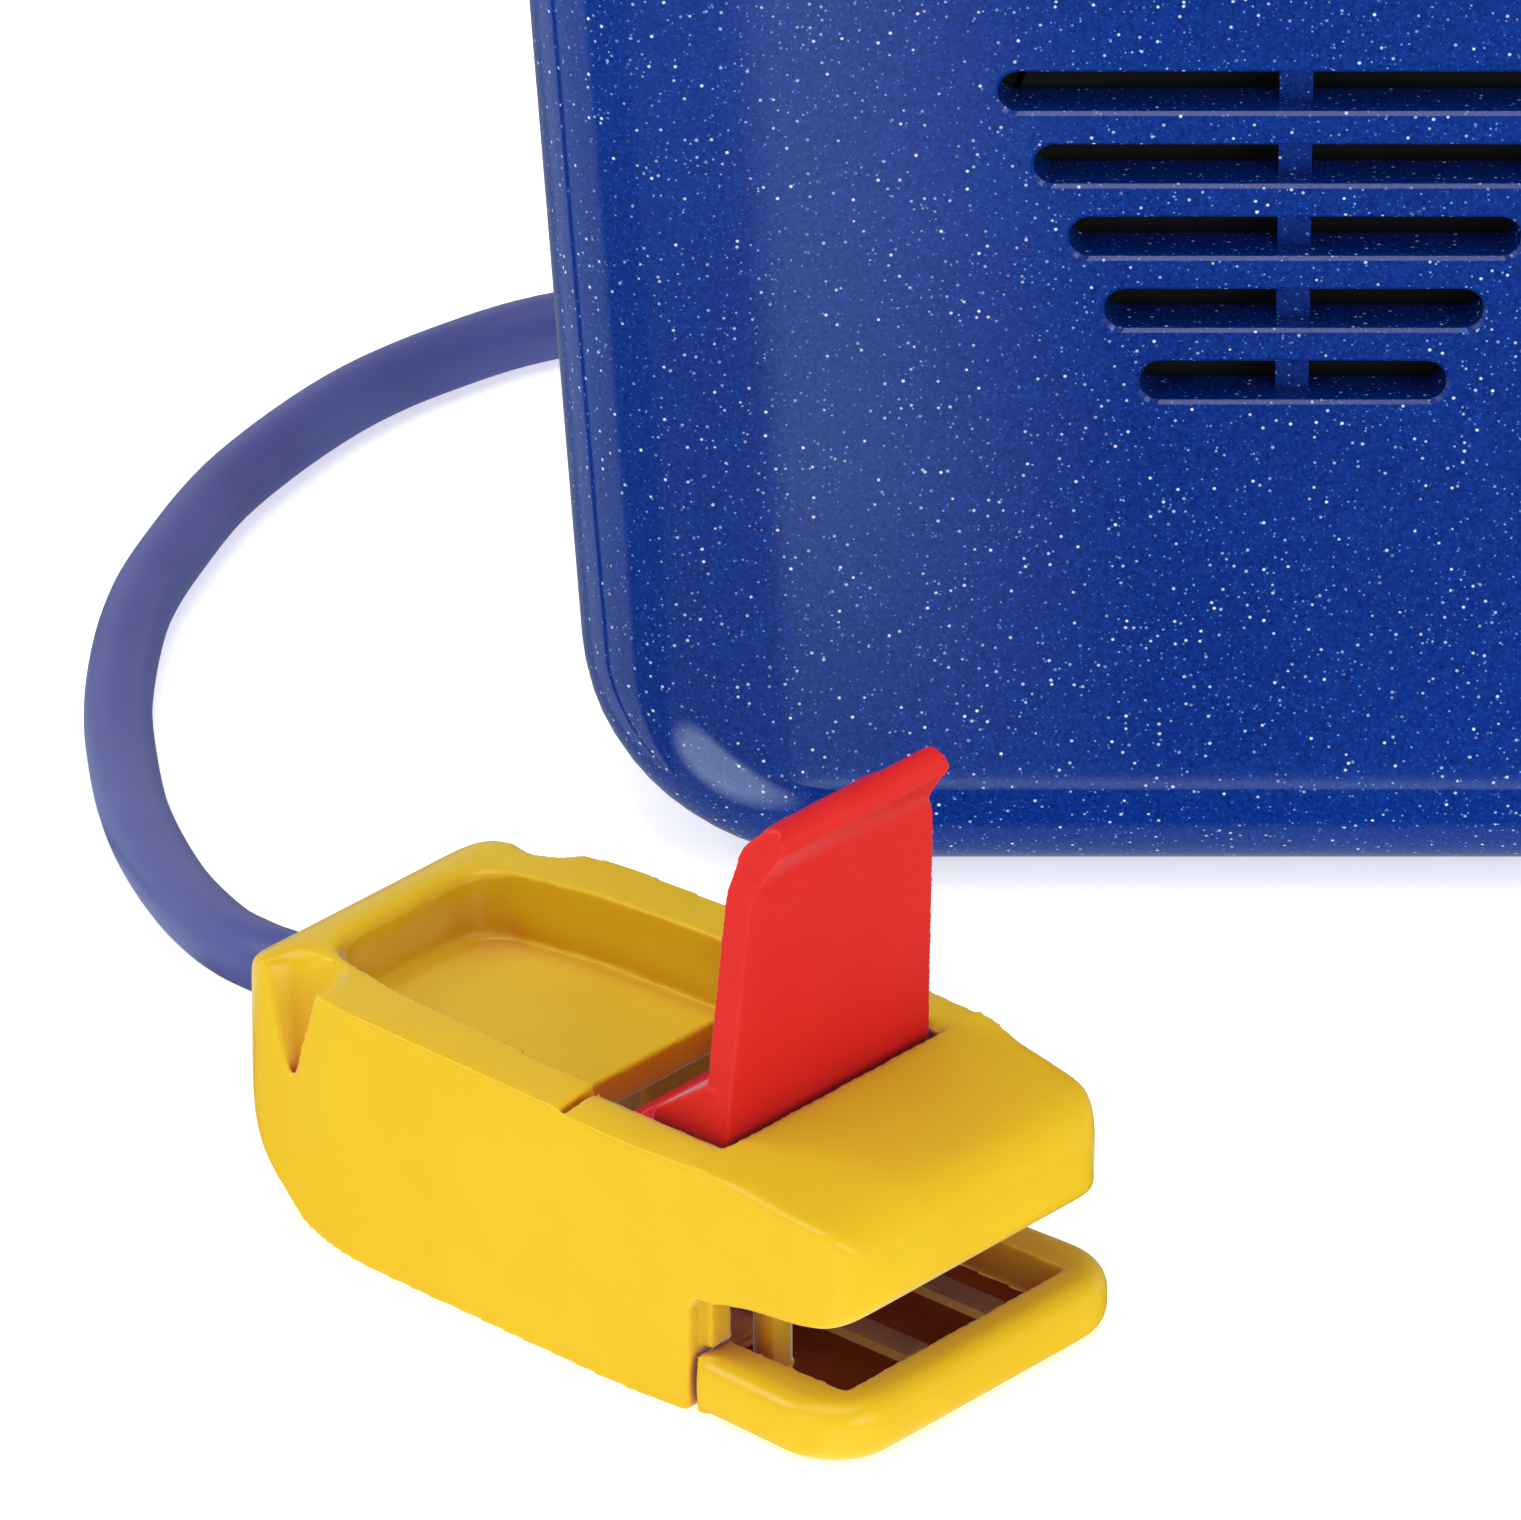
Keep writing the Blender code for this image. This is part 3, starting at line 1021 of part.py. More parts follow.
def make_clip_housing(clip):
    plan = both_sides(((0, -CLIP_REAR_HALF, CLIP_REAR_CORNER),
                       (CLIP_SHOULDER_X, -CLIP_SHOULDER_HALF, CLIP_SHOULDER_ROUND),
                       (CLIP_HALF_X, -CLIP_HALF, CLIP_SIDE_ROUND),
                       (CLIP_LENGTH, -NOSE_HALF, NOSE_CORNER)))
    housing = slab("clip_housing", plan, 0, CLIP_HEIGHT, high_round=CLIP_TOP_ROUND, material="yellow_abs",
                   parent=clip)
    front = CLIP_LENGTH + CLIP_WALL
    over = CLIP_HEIGHT + CLIP_WALL
    side = rounded(((-GAP, STERN_RISE, STERN_ROUND), (STERN_X, -GAP, STERN_FOOT_ROUND), (front, -GAP, 0),
                    (front, over, 0), (-GAP, over, 0)), 2 * CORNER_STEPS)
    boolean(housing, slab("clip_side", side, -2 * CLIP_HALF, 2 * CLIP_HALF, FACING, parent=clip),
            'INTERSECT')
    roof = RECESS_FLOOR - RECESS_ROOF
    cavity = both_sides(((CAVITY_X, -CLIP_SHOULDER_HALF + CLIP_WALL, GAP),
                         (CLIP_HALF_X, -CLIP_HALF + CLIP_WALL, 0),
                         (WALL_FRONT_X + CLIP_WALL, -CLIP_HALF + CLIP_WALL, 0)))
    cut(housing, slab("clip_cavity", cavity, -CLIP_WALL, roof, parent=clip))
    cut(housing, box("clip_mouth", (WALL_FRONT_X, -2 * CLIP_HALF, -CLIP_WALL),
                     (front, 2 * CLIP_HALF, NOSE_BOTTOM), parent=clip))
    foot_half = FOOT_HALF + GAP
    cut(housing, box("foot_room", (NOSE_REAR_X - GAP, -foot_half, NOSE_BOTTOM - CLIP_WALL),
                     (FOOT_FRONT_X + GAP, foot_half, FOOT_TOP + GAP), parent=clip))
    recess = both_sides(((RECESS_X, -RECESS_REAR_HALF, RECESS_CORNER),
                         (RECESS_X + RECESS_SHOULDER, -LEVER_GAP_HALF, RECESS_CORNER),
                         (PIT_X + CLIP_WALL, -LEVER_GAP_HALF, 0)))
    cut(housing, slab("lever_recess", recess, RECESS_FLOOR, over, parent=clip))
    cut(housing, box("lever_pit", (PIT_X, -LEVER_GAP_HALF, roof - GAP), (NOSE_REAR_X, LEVER_GAP_HALF, over),
                     parent=clip))
    cheek_low = CLIP_HEIGHT - CHEEK_DROP
    cheek_half = LEVER_GAP_HALF + CHEEK_WIDTH
    cut(housing, box("cheek_step", (CHEEK_X, -cheek_half, cheek_low), (NOSE_REAR_X, cheek_half, over),
                     parent=clip))
    for way in (-1, 1):
        y = way * (CLIP_REAR_HALF + NOTCH_OUT)
        cut(housing, rod(f"rear_notch_{way}", (NOTCH_X, y, NOTCH_BOTTOM), (NOTCH_X, y, over), GAP,
                         NOTCH_RADIUS, parent=clip, sides=SMALL_SIDES))
    cut(housing, rod("lead_bore", (-CLIP_WALL, 0, LEAD_BORE_Z), (LEAD_BORE, 0, LEAD_BORE_Z),
                     LEAD_RADIUS + GAP, parent=clip, sides=ROUND_SIDES),
        rod("core_hole", (LEAD_BORE - GAP, 0, CORE_HOLE_Z), (CAVITY_X + GAP, 0, CORE_HOLE_Z),
            CORE_HOLE_RADIUS, parent=clip, sides=SMALL_SIDES))
    reach = LEVER_GAP_HALF + PIN_SEAT + GAP
    cut(housing, rod("pin_seat", (PIVOT_X, -reach, PIVOT_Z), (PIVOT_X, reach, PIVOT_Z), HUB_BORE,
                     parent=clip, sides=SMALL_SIDES))


def make_clip_base(clip):
    jaw_plan = both_sides(((WALL_FRONT_X + GAP, -JAW_HALF, JAW_EDGE + GAP),
                           (JAW_LENGTH, -JAW_HALF, JAW_CORNER)))
    base = slab("clip_base", jaw_plan, 0, JAW_TOP, low_round=JAW_EDGE, high_round=JAW_EDGE, segments=2,
                material="yellow_abs", parent=clip)
    plate_half = CLIP_SHOULDER_HALF - CLIP_WALL - GAP
    join(base, box("base_plate", (CAVITY_X + GAP, -plate_half, GAP),
                   (WALL_FRONT_X + JAW_BAR, plate_half, BASE_PLATE), parent=clip))
    pocket_half = JAW_HALF - JAW_ARM
    cut(base, box("jaw_pocket", (WALL_FRONT_X, -pocket_half, JAW_FLOOR),
                  (JAW_LENGTH - JAW_BAR, pocket_half, JAW_TOP + GAP), parent=clip))
    for way in (-1, 1):
        y = way * POST_PIN_Y
        join(base, rod(f"guide_post_{way}", (POST_PIN_X, y, JAW_FLOOR / 2), (POST_PIN_X, y, FOOT_TOP - GAP),
                       POST_PIN_RADIUS, parent=clip, sides=SMALL_SIDES))


def make_contact_strips(clip):
    low = BASE_PLATE + GAP
    high = low + STRIP_THICK
    under = STRIP_TOP - STRIP_THICK
    rear = STRIP_REAR_X + STRIP_THICK
    ramp = WALL_FRONT_X - STRIP_RAMP
    front = JAW_LENGTH - JAW_BAR - GAP
    outline = ((STRIP_REAR_X, low), (ramp, low), (WALL_FRONT_X, under), (front, under), (front, STRIP_TOP),
               (WALL_FRONT_X, STRIP_TOP), (ramp, high), (rear, high), (rear, low + STRIP_TAB),
               (STRIP_REAR_X, low + STRIP_TAB))
    for name, way in (("right", -1), ("left", 1)):
        y = way * STRIP_Y
        slab(f"contact_strip_{name}", outline, y - STRIP_WIDTH / 2, y + STRIP_WIDTH / 2,
             FACING, material="brass", parent=clip)


def make_foot(clip):
    foot = box("presser_foot", (FOOT_REAR_X, -FOOT_HALF, FOOT_BOTTOM), (FOOT_FRONT_X, FOOT_HALF, FOOT_TOP),
               "red_abs", clip)
    low = BASE_PLATE + GAP + SPRING_WIRE / 2
    high = FOOT_BOTTOM - GAP - SPRING_WIRE / 2
    steps = SPRING_TURNS * CURL_POINTS
    for name, way in (("right", -1), ("left", 1)):
        y = way * POST_PIN_Y
        cut(foot, rod(f"foot_hole_{name}", (POST_PIN_X, y, FOOT_BOTTOM - GAP),
                      (POST_PIN_X, y, FOOT_TOP + GAP), POST_PIN_RADIUS + GAP, parent=clip, sides=SMALL_SIDES))
        points = []
        for step in range(steps + 1):
            angle = 2 * math.pi * step / CURL_POINTS
            points.append(Vector((SPRING_X + SPRING_RADIUS * math.cos(angle),
                                  way * SPRING_Y + SPRING_RADIUS * math.sin(angle),
                                  low + (high - low) * step / steps)))
        wire(f"foot_spring_{name}", points, SPRING_WIRE / 2, 1, "steel", clip)
    print("foot spring least gap mm", 1000 * least_gap(points, SPRING_WIRE, CURL_POINTS // 2))


def cam_outline():
    """Side view of the hub with its cam, whose reach grows steadily as the lever folds back."""
    outline = []
    for step in range(ARC_STEPS + 1):
        fold = LEVER_FOLD * step / ARC_STEPS
        facing = -math.pi / 2 - fold
        reach = HUB_RADIUS + CAM_RISE * fold
        outline.append((reach * math.cos(facing) + CAM_RISE * math.sin(facing),
                        reach * math.sin(facing) - CAM_RISE * math.cos(facing)))
    first = math.radians(100)
    last = math.radians(-90)
    for step in range(ARC_STEPS + 1):
        angle = first + (last - first) * step / ARC_STEPS
        outline.append((HUB_RADIUS * math.cos(angle), HUB_RADIUS * math.sin(angle)))
    return outline


def make_lever(clip):
    pivot = (PIVOT_X, 0, PIVOT_Z)
    lever = slab("cam_lever", cam_outline(), -LEVER_HALF, LEVER_HALF, FACING, material="red_abs",
                 parent=clip, location=pivot)
    standing = Matrix(((0, 0, 1, 0), (1, 0, 0, 0), (0, 1, 0, 0), (0, 0, 0, 1)))
    upright = Matrix.Rotation(LEVER_LEAN, 4, 'Y') @ standing
    plate = rounded(((-LEVER_ROOT_HALF, 0, 0), (LEVER_ROOT_HALF, 0, 0),
                     (LEVER_TIP_HALF, LEVER_LENGTH, LEVER_CORNER),
                     (-LEVER_TIP_HALF, LEVER_LENGTH, LEVER_CORNER)))
    join(lever, slab("lever_plate", plate, LEVER_FACE - LEVER_THICK, LEVER_FACE, upright, parent=clip,
                     location=pivot))
    root = Matrix.Translation((0, LEVER_LENGTH - LIP_SINK, LEVER_FACE - LEVER_THICK / 2))
    flared = upright @ root @ Matrix.Rotation(-LIP_TILT, 4, 'X')
    lip = oblong(2 * LIP_HALF, LIP_THICK, LIP_THICK * END_ROUND)
    join(lever, slab("lever_lip", lip, 0, LIP_REACH, flared, high_round=LIP_ROUND, segments=2, parent=clip,
                     location=pivot))
    cut(lever, rod("lever_bore", (PIVOT_X, -2 * LEVER_HALF, PIVOT_Z), (PIVOT_X, 2 * LEVER_HALF, PIVOT_Z),
                   HUB_BORE, parent=clip, sides=SMALL_SIDES))
    reach = LEVER_GAP_HALF + PIN_SEAT
    rod("lever_pin", (PIVOT_X, -reach, PIVOT_Z), (PIVOT_X, reach, PIVOT_Z), PIN_RADIUS, material="steel",
        parent=clip, sides=SMALL_SIDES)


def make_sensor_clip():
    clip = bpy.data.objects.new("sensor_clip", None)
    PIECES.objects.link(clip)
    clip.location = (CLIP_X, CLIP_Y, 0)
    clip.rotation_euler = (0, 0, CLIP_YAW)
    make_clip_housing(clip)
    make_clip_base(clip)
    make_contact_strips(clip)
    make_foot(clip)
    make_lever(clip)
    return clip


clear_scene()
PIECES = new_collection("moisture_alarm")
CUTTERS = new_collection("cutters")
make_front_cover()
make_back_cover()
make_battery_door()
make_battery_bay()
make_board()
make_sounder()
make_controls()
make_mode_switch()
make_motor()
make_socket_and_plug()
make_garment_clip()
make_lead(make_sensor_clip())
bpy.context.view_layer.update()
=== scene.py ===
import math

import bmesh
import bpy
from mathutils import Matrix, Vector


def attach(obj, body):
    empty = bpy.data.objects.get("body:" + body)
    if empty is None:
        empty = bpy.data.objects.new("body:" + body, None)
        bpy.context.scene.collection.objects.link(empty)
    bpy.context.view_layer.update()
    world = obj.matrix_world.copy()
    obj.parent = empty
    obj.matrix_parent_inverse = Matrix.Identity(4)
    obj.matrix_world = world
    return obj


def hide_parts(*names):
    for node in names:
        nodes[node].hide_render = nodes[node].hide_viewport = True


# Wearable moisture alarm: glitter sounder case, slate lead, yellow clip-on sensor with a red cam lever.
# Settings are in millimetres and degrees, Blender works in metres.

mm = 0.001
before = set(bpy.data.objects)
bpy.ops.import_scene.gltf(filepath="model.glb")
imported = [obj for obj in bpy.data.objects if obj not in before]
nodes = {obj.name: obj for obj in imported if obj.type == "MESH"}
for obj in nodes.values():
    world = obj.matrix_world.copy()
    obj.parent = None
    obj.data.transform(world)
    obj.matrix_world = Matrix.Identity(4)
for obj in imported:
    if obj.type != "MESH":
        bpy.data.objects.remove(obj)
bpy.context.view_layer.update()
print("frame loaded:", len(nodes), "nodes")


cameraSettings = {"target": (-20.8, -11.6, 6.3), "elevation": 27.5, "distance": 700.0, "perPixel": 0.0395}


def makeCamera():
    s = cameraSettings
    tilt = math.radians(s["elevation"])
    back = Vector((0, -math.cos(tilt), math.sin(tilt)))
    data = bpy.data.cameras.new("camera")
    data.sensor_width = 36.0
    data.lens = s["distance"] / s["perPixel"] * 36.0 / 1521     # the photograph is 1521 pixels wide
    data.clip_start = 0.01
    camera = bpy.data.objects.new("camera", data)
    bpy.context.scene.collection.objects.link(camera)
    camera.location = (Vector(s["target"]) + back * s["distance"]) * mm
    camera.rotation_euler = (math.pi / 2 - tilt, 0, 0)
    bpy.context.scene.camera = camera


makeCamera()


def hexToLinear(code):
    values = [int(code[i:i + 2], 16) / 255 for i in (1, 3, 5)]
    return tuple(v / 12.92 if v <= 0.04045 else ((v + 0.055) / 1.055) ** 2.4 for v in values) + (1.0,)


def addNode(material, kind, settings=None, links=None):
    node = material.node_tree.nodes.new(kind)
    for key, value in (settings or {}).items():
        if isinstance(key, int) or key in node.inputs:
            node.inputs[key].default_value = value
        else:
            setattr(node, key, value)
    for key, source in (links or {}).items():
        material.node_tree.links.new(source, node.inputs[key])
    return node


def newMaterial(name, sockets):
    material = bpy.data.materials.new(name)
    material.use_nodes = True
    shader = material.node_tree.nodes["Principled BSDF"]
    for key, value in sockets.items():
        shader.inputs[key].default_value = value
    return material, shader


def connect(material, source, shader, socket):
    material.node_tree.links.new(source, shader.inputs[socket])


materials = {}


# ABS moulded with polyester glitter under a gloss skin: deep blue, silver and pale blue specks at many depths
def makeGlitterBlue():
    material, shader = newMaterial("glitterBlueAbs", {"Roughness": 0.08, "IOR": 1.5})
    place = addNode(material, "ShaderNodeTexCoord").outputs["Object"]
    cloud = addNode(material, "ShaderNodeTexNoise", {"Scale": 60.0, "Detail": 3.0}, {"Vector": place})    # 17 mm drifts
    grain = addNode(material, "ShaderNodeTexNoise", {"Scale": 6000.0, "Detail": 1.0}, {"Vector": place})  # 0.17 mm pigment
    blend = addNode(material, "ShaderNodeMath", {"operation": 'MULTIPLY_ADD', 1: 0.35}, {0: cloud.outputs[0], 2: grain.outputs[0]})
    share = addNode(material, "ShaderNodeMapRange", {1: 0.35, 2: 0.98, 3: 0.0, 4: 1.0}, {0: blend.outputs[0]})
    body = addNode(material, "ShaderNodeMix", {"data_type": 'RGBA', 6: hexToLinear("#041F70"), 7: hexToLinear("#0C3A96")},
                   {0: share.outputs[0]})
    colour = body.outputs[2]
    # real flakes are 0.1 mm: one bright layer, then two fainter and finer crowds
    for cell, radius, tint, strength, rarity in ((0.19, 0.046, "#2C66D8", 0.8, 1.0), (0.29, 0.058, "#7DBBFA", 0.9, 1.5),
                                                 (0.49, 0.082, "#EAF8FF", 1.0, 0.9)):
        flake = addNode(material, "ShaderNodeTexVoronoi", {"Scale": 1000.0 / cell, "Randomness": 1.0}, {"Vector": place})
        reach = radius / cell
        spot = addNode(material, "ShaderNodeMapRange", {1: reach * 0.5, 2: reach, 3: strength, 4: 0.0},
                       {0: flake.outputs["Distance"]})
        chance = addNode(material, "ShaderNodeSeparateColor", None, {0: flake.outputs["Color"]})
        level = addNode(material, "ShaderNodeMath", {"operation": 'POWER', 1: rarity}, {0: chance.outputs[0]})
        mask = addNode(material, "ShaderNodeMath", {"operation": 'MULTIPLY'}, {0: spot.outputs[0], 1: level.outputs[0]})
        mixed = addNode(material, "ShaderNodeMix", {"data_type": 'RGBA', 7: hexToLinear(tint)},
                        {0: mask.outputs[0], 6: colour})
        colour = mixed.outputs[2]
    connect(material, colour, shader, "Base Color")
    return material


# ABS from a polished mould: even gloss, faint flow marks; hollows get painted shade and bounced light, tinted deeper
# orange in the base colour by an occlusion mask
# tones: dark and light body, then the painted shade tints for hollows and for the deepest hollows; then gloss,
# subsurface radius, flow scale
mouldedFinishes = {
    "yellow": ("yellowAbs", ("#E6B90E", "#EECA1C", "#D67A02", "#8A2408"), 0.24, (1.0, 0.45, 0.08), 220.0),
    "red": ("redAbs", ("#D81A16", "#E4241F", "#CE1714", "#820C0A"), 0.3, (1.0, 0.15, 0.1), 260.0),
}


def makeMoulded(name, tones, rough, glow, flowScale):
    dark, light, hollowShade, deep = (hexToLinear(tone) for tone in tones)
    material, shader = newMaterial(name, {"Roughness": rough, "IOR": 1.53, "Specular IOR Level": 0.32, "Subsurface Weight": 0.1,
                                          "Subsurface Radius": glow, "Subsurface Scale": 0.001})
    place = addNode(material, "ShaderNodeTexCoord").outputs["Object"]
    flow = addNode(material, "ShaderNodeTexNoise", {"Scale": flowScale, "Detail": 4.0}, {"Vector": place})   # 4 to 5 mm
    tone = addNode(material, "ShaderNodeMix", {"data_type": 'RGBA', 6: dark, 7: light}, {0: flow.outputs[0]})
    # painted shade: an occlusion mask tints the hollows orange and the deepest hollows dark in the base colour,
    # standing in for light bouncing about in them
    openness = addNode(material, "ShaderNodeAmbientOcclusion", {"Distance": 0.003, "samples": 8})
    sunk = addNode(material, "ShaderNodeMapRange", {1: 0.3, 2: 0.72, 3: 0.0, 4: 1.0}, {0: openness.outputs["AO"]})
    shade = addNode(material, "ShaderNodeMix", {"data_type": 'RGBA', 6: hollowShade}, {0: sunk.outputs[0], 7: tone.outputs[2]})
    buriedShadeMask = addNode(material, "ShaderNodeMapRange", {1: 0.05, 2: 0.34, 3: 0.0, 4: 1.0}, {0: openness.outputs["AO"]})
    colour = addNode(material, "ShaderNodeMix", {"data_type": 'RGBA', 6: deep}, {0: buriedShadeMask.outputs[0], 7: shade.outputs[2]})
    connect(material, colour.outputs[2], shader, "Base Color")
    grain = addNode(material, "ShaderNodeTexNoise", {"Scale": 2500.0, "Detail": 2.0}, {"Vector": place})     # 0.4 mm
    bump = addNode(material, "ShaderNodeBump", {"Strength": 0.08, "Distance": 0.00002}, {"Height": grain.outputs[0]})
    connect(material, bump.outputs[0], shader, "Normal")
    return material


# Soft PVC drawn over a twisted pair: satin slate blue, slightly uneven along its length
def makeLeadPvc():
    material, shader = newMaterial("slatePvc", {"Roughness": 0.4, "IOR": 1.53})
    place = addNode(material, "ShaderNodeTexCoord").outputs["Object"]
    drift = addNode(material, "ShaderNodeTexNoise", {"Scale": 180.0, "Detail": 5.0}, {"Vector": place})
    tone = addNode(material, "ShaderNodeMix", {"data_type": 'RGBA', 6: hexToLinear("#40468C"), 7: hexToLinear("#555CA6")},
                   {0: drift.outputs[0]})
    connect(material, tone.outputs[2], shader, "Base Color")
    skin = addNode(material, "ShaderNodeTexNoise", {"Scale": 1600.0, "Detail": 3.0}, {"Vector": place})
    bump = addNode(material, "ShaderNodeBump", {"Strength": 0.15, "Distance": 0.00003}, {"Height": skin.outputs[0]})
    connect(material, bump.outputs[0], shader, "Normal")
    return material


# Plain moulded, pressed or plated finishes: two close tones in a fine noise, a light bump, gloss that varies with it
plainFinishes = {
    "blackAbs": ("#131316", "#1F1F23", 0.5, 0.0, 900.0, 0.5),          # spark-eroded mould: even satin black
    "whiteAbs": ("#D2D2CC", "#E0E0DA", 0.38, 0.0, 900.0, 0.5),         # satin button cap
    "epoxyBlack": ("#101012", "#1B1B1E", 0.6, 0.0, 1500.0, 0.5),       # transfer-moulded chip body
    "blackLacquer": ("#08080A", "#111114", 0.6, 0.0, 800.0, 0.3),      # dull lacquer on a pressed frame
    # the jaw inlay finish below is painted shade: a dark sheet where the jaw pocket lies in shade
    "jawShadeInlay": ("#6A3018", "#8A4224", 0.85, 0.0, 1200.0, 0.1),     # dark inlay in the jaw: soft and dull
    "nickelSteel": ("#A9A9AD", "#C8C8CB", 0.26, 1.0, 700.0, 0.5),      # nickel plate over drawn steel
    "springSteel": ("#97989C", "#B6B7BA", 0.3, 1.0, 500.0, 0.5),       # tempered strip, tumbled edges
    "brass": ("#B78A3A", "#D6AE5A", 0.42, 0.7, 600.0, 0.5),            # rolled strip under a thin brown tarnish
    "bronze": ("#A8662A", "#C98C46", 0.42, 0.75, 600.0, 0.5),          # spring bronze, warm and slightly dull
    "ferrite": ("#2C2C2F", "#3A3A3D", 0.55, 0.3, 1200.0, 0.5),         # sintered magnet
}


def makePlain(name):
    dark, light, rough, metal, scale, gloss = plainFinishes[name]
    material, shader = newMaterial(name, {"Metallic": metal, "Specular IOR Level": gloss})
    place = addNode(material, "ShaderNodeTexCoord").outputs["Object"]
    speck = addNode(material, "ShaderNodeTexNoise", {"Scale": scale, "Detail": 4.0}, {"Vector": place})
    tone = addNode(material, "ShaderNodeMix", {"data_type": 'RGBA', 6: hexToLinear(dark), 7: hexToLinear(light)},
                   {0: speck.outputs[0]})
    connect(material, tone.outputs[2], shader, "Base Color")
    sheen = addNode(material, "ShaderNodeMapRange", {1: 0.3, 2: 0.7, 3: rough * 0.85, 4: rough * 1.15}, {0: speck.outputs[0]})
    connect(material, sheen.outputs[0], shader, "Roughness")
    bump = addNode(material, "ShaderNodeBump", {"Strength": 0.12, "Distance": 0.00002}, {"Height": speck.outputs[0]})
    connect(material, bump.outputs[0], shader, "Normal")
    return material


# Printed film shrunk over a dry cell: glossy graphite with a copper shoulder at the end with the nub
def makeCellFilm():
    material, shader = newMaterial("cellFilm", {"Roughness": 0.22, "IOR": 1.5})
    place = addNode(material, "ShaderNodeTexCoord").outputs["Object"]
    parts = addNode(material, "ShaderNodeSeparateXYZ", None, {0: place})
    upper = addNode(material, "ShaderNodeMapRange", {1: 0.0439, 2: 0.0441, 3: 1.0, 4: -1.0}, {0: parts.outputs[2]})
    along = addNode(material, "ShaderNodeMath", {"operation": 'MULTIPLY'}, {0: parts.outputs[0], 1: upper.outputs[0]})
    band = addNode(material, "ShaderNodeMapRange", {1: 0.0118, 2: 0.0121, 3: 0.0, 4: 1.0}, {0: along.outputs[0]})
    ink = addNode(material, "ShaderNodeTexNoise", {"Scale": 1400.0, "Detail": 2.0}, {"Vector": place})
    graphite = addNode(material, "ShaderNodeMix", {"data_type": 'RGBA', 6: hexToLinear("#1B1C1F"), 7: hexToLinear("#26272B")},
                       {0: ink.outputs[0]})
    tone = addNode(material, "ShaderNodeMix", {"data_type": 'RGBA', 7: hexToLinear("#B4733C")},
                   {0: band.outputs[0], 6: graphite.outputs[2]})
    connect(material, tone.outputs[2], shader, "Base Color")
    connect(material, band.outputs[0], shader, "Metallic")
    return material


# Glass-epoxy board under green solder mask: tinned pads on a 2.54 mm grid, paler copper tracks between their rows
def makeBoardMask():
    material, shader = newMaterial("boardMask", {"Roughness": 0.35, "IOR": 1.5})
    place = addNode(material, "ShaderNodeTexCoord").outputs["Object"]
    parts = addNode(material, "ShaderNodeSeparateXYZ", None, {0: place})
    flat = addNode(material, "ShaderNodeCombineXYZ", None, {0: parts.outputs[0], 1: parts.outputs[2]})
    weave = addNode(material, "ShaderNodeTexNoise", {"Scale": 2200.0, "Detail": 2.0}, {"Vector": place})
    mask = addNode(material, "ShaderNodeMix", {"data_type": 'RGBA', 6: hexToLinear("#0B4A26"), 7: hexToLinear("#115C30")},
                   {0: weave.outputs[0]})
    tracks = addNode(material, "ShaderNodeTexBrick", {"Scale": 1.0, "Mortar Size": 0.00028, "Brick Width": 0.0127, "Row Height": 0.00254},
                     {"Vector": flat.outputs[0]})
    green = addNode(material, "ShaderNodeMix", {"data_type": 'RGBA', 7: hexToLinear("#2C8A4C")},
                    {0: tracks.outputs["Fac"], 6: mask.outputs[2]})
    pads = addNode(material, "ShaderNodeTexVoronoi", {"Scale": 1000.0 / 2.54, "Randomness": 0.0, "voronoi_dimensions": '2D'},
                   {"Vector": flat.outputs[0]})
    tin = addNode(material, "ShaderNodeMapRange", {1: 0.24, 2: 0.27, 3: 1.0, 4: 0.0}, {0: pads.outputs["Distance"]})
    tone = addNode(material, "ShaderNodeMix", {"data_type": 'RGBA', 7: hexToLinear("#B9BABC")},
                   {0: tin.outputs[0], 6: green.outputs[2]})
    connect(material, tone.outputs[2], shader, "Base Color")
    connect(material, tin.outputs[0], shader, "Metallic")
    return material


# Pressed paper pulp: dull black fibres, rings left by the press
def makePaperCone():
    material, shader = newMaterial("pressedPaper", {"Roughness": 0.85})
    place = addNode(material, "ShaderNodeTexCoord").outputs["Object"]
    centred = addNode(material, "ShaderNodeMapping", {"vector_type": 'POINT', "Location": (0, 0, -0.0292)}, {"Vector": place})
    rings = addNode(material, "ShaderNodeTexWave", {"wave_type": 'RINGS', "rings_direction": 'Y', "Scale": 160.0, "Distortion": 0.4},
                    {"Vector": centred.outputs[0]})                                                   # 2 mm apart
    pulp = addNode(material, "ShaderNodeTexNoise", {"Scale": 3000.0, "Detail": 5.0}, {"Vector": place})
    tone = addNode(material, "ShaderNodeMix", {"data_type": 'RGBA', 6: hexToLinear("#0C0C0E"), 7: hexToLinear("#1D1D20")},
                   {0: pulp.outputs[0]})
    connect(material, tone.outputs[2], shader, "Base Color")
    bump = addNode(material, "ShaderNodeBump", {"Strength": 0.4, "Distance": 0.00008}, {"Height": rings.outputs["Fac"]})
    connect(material, bump.outputs[0], shader, "Normal")
    return material


# Cast epoxy lamp, tinted red: clear and glossy with a faint haze inside
def makeLampLens():
    material, shader = newMaterial("tintedEpoxy", {"Roughness": 0.06, "IOR": 1.54, "Transmission Weight": 0.55})
    place = addNode(material, "ShaderNodeTexCoord").outputs["Object"]
    haze = addNode(material, "ShaderNodeTexNoise", {"Scale": 900.0, "Detail": 2.0}, {"Vector": place})
    tone = addNode(material, "ShaderNodeMix", {"data_type": 'RGBA', 6: hexToLinear("#C9120E"), 7: hexToLinear("#E8322A")},
                   {0: haze.outputs[0]})
    connect(material, tone.outputs[2], shader, "Base Color")
    return material


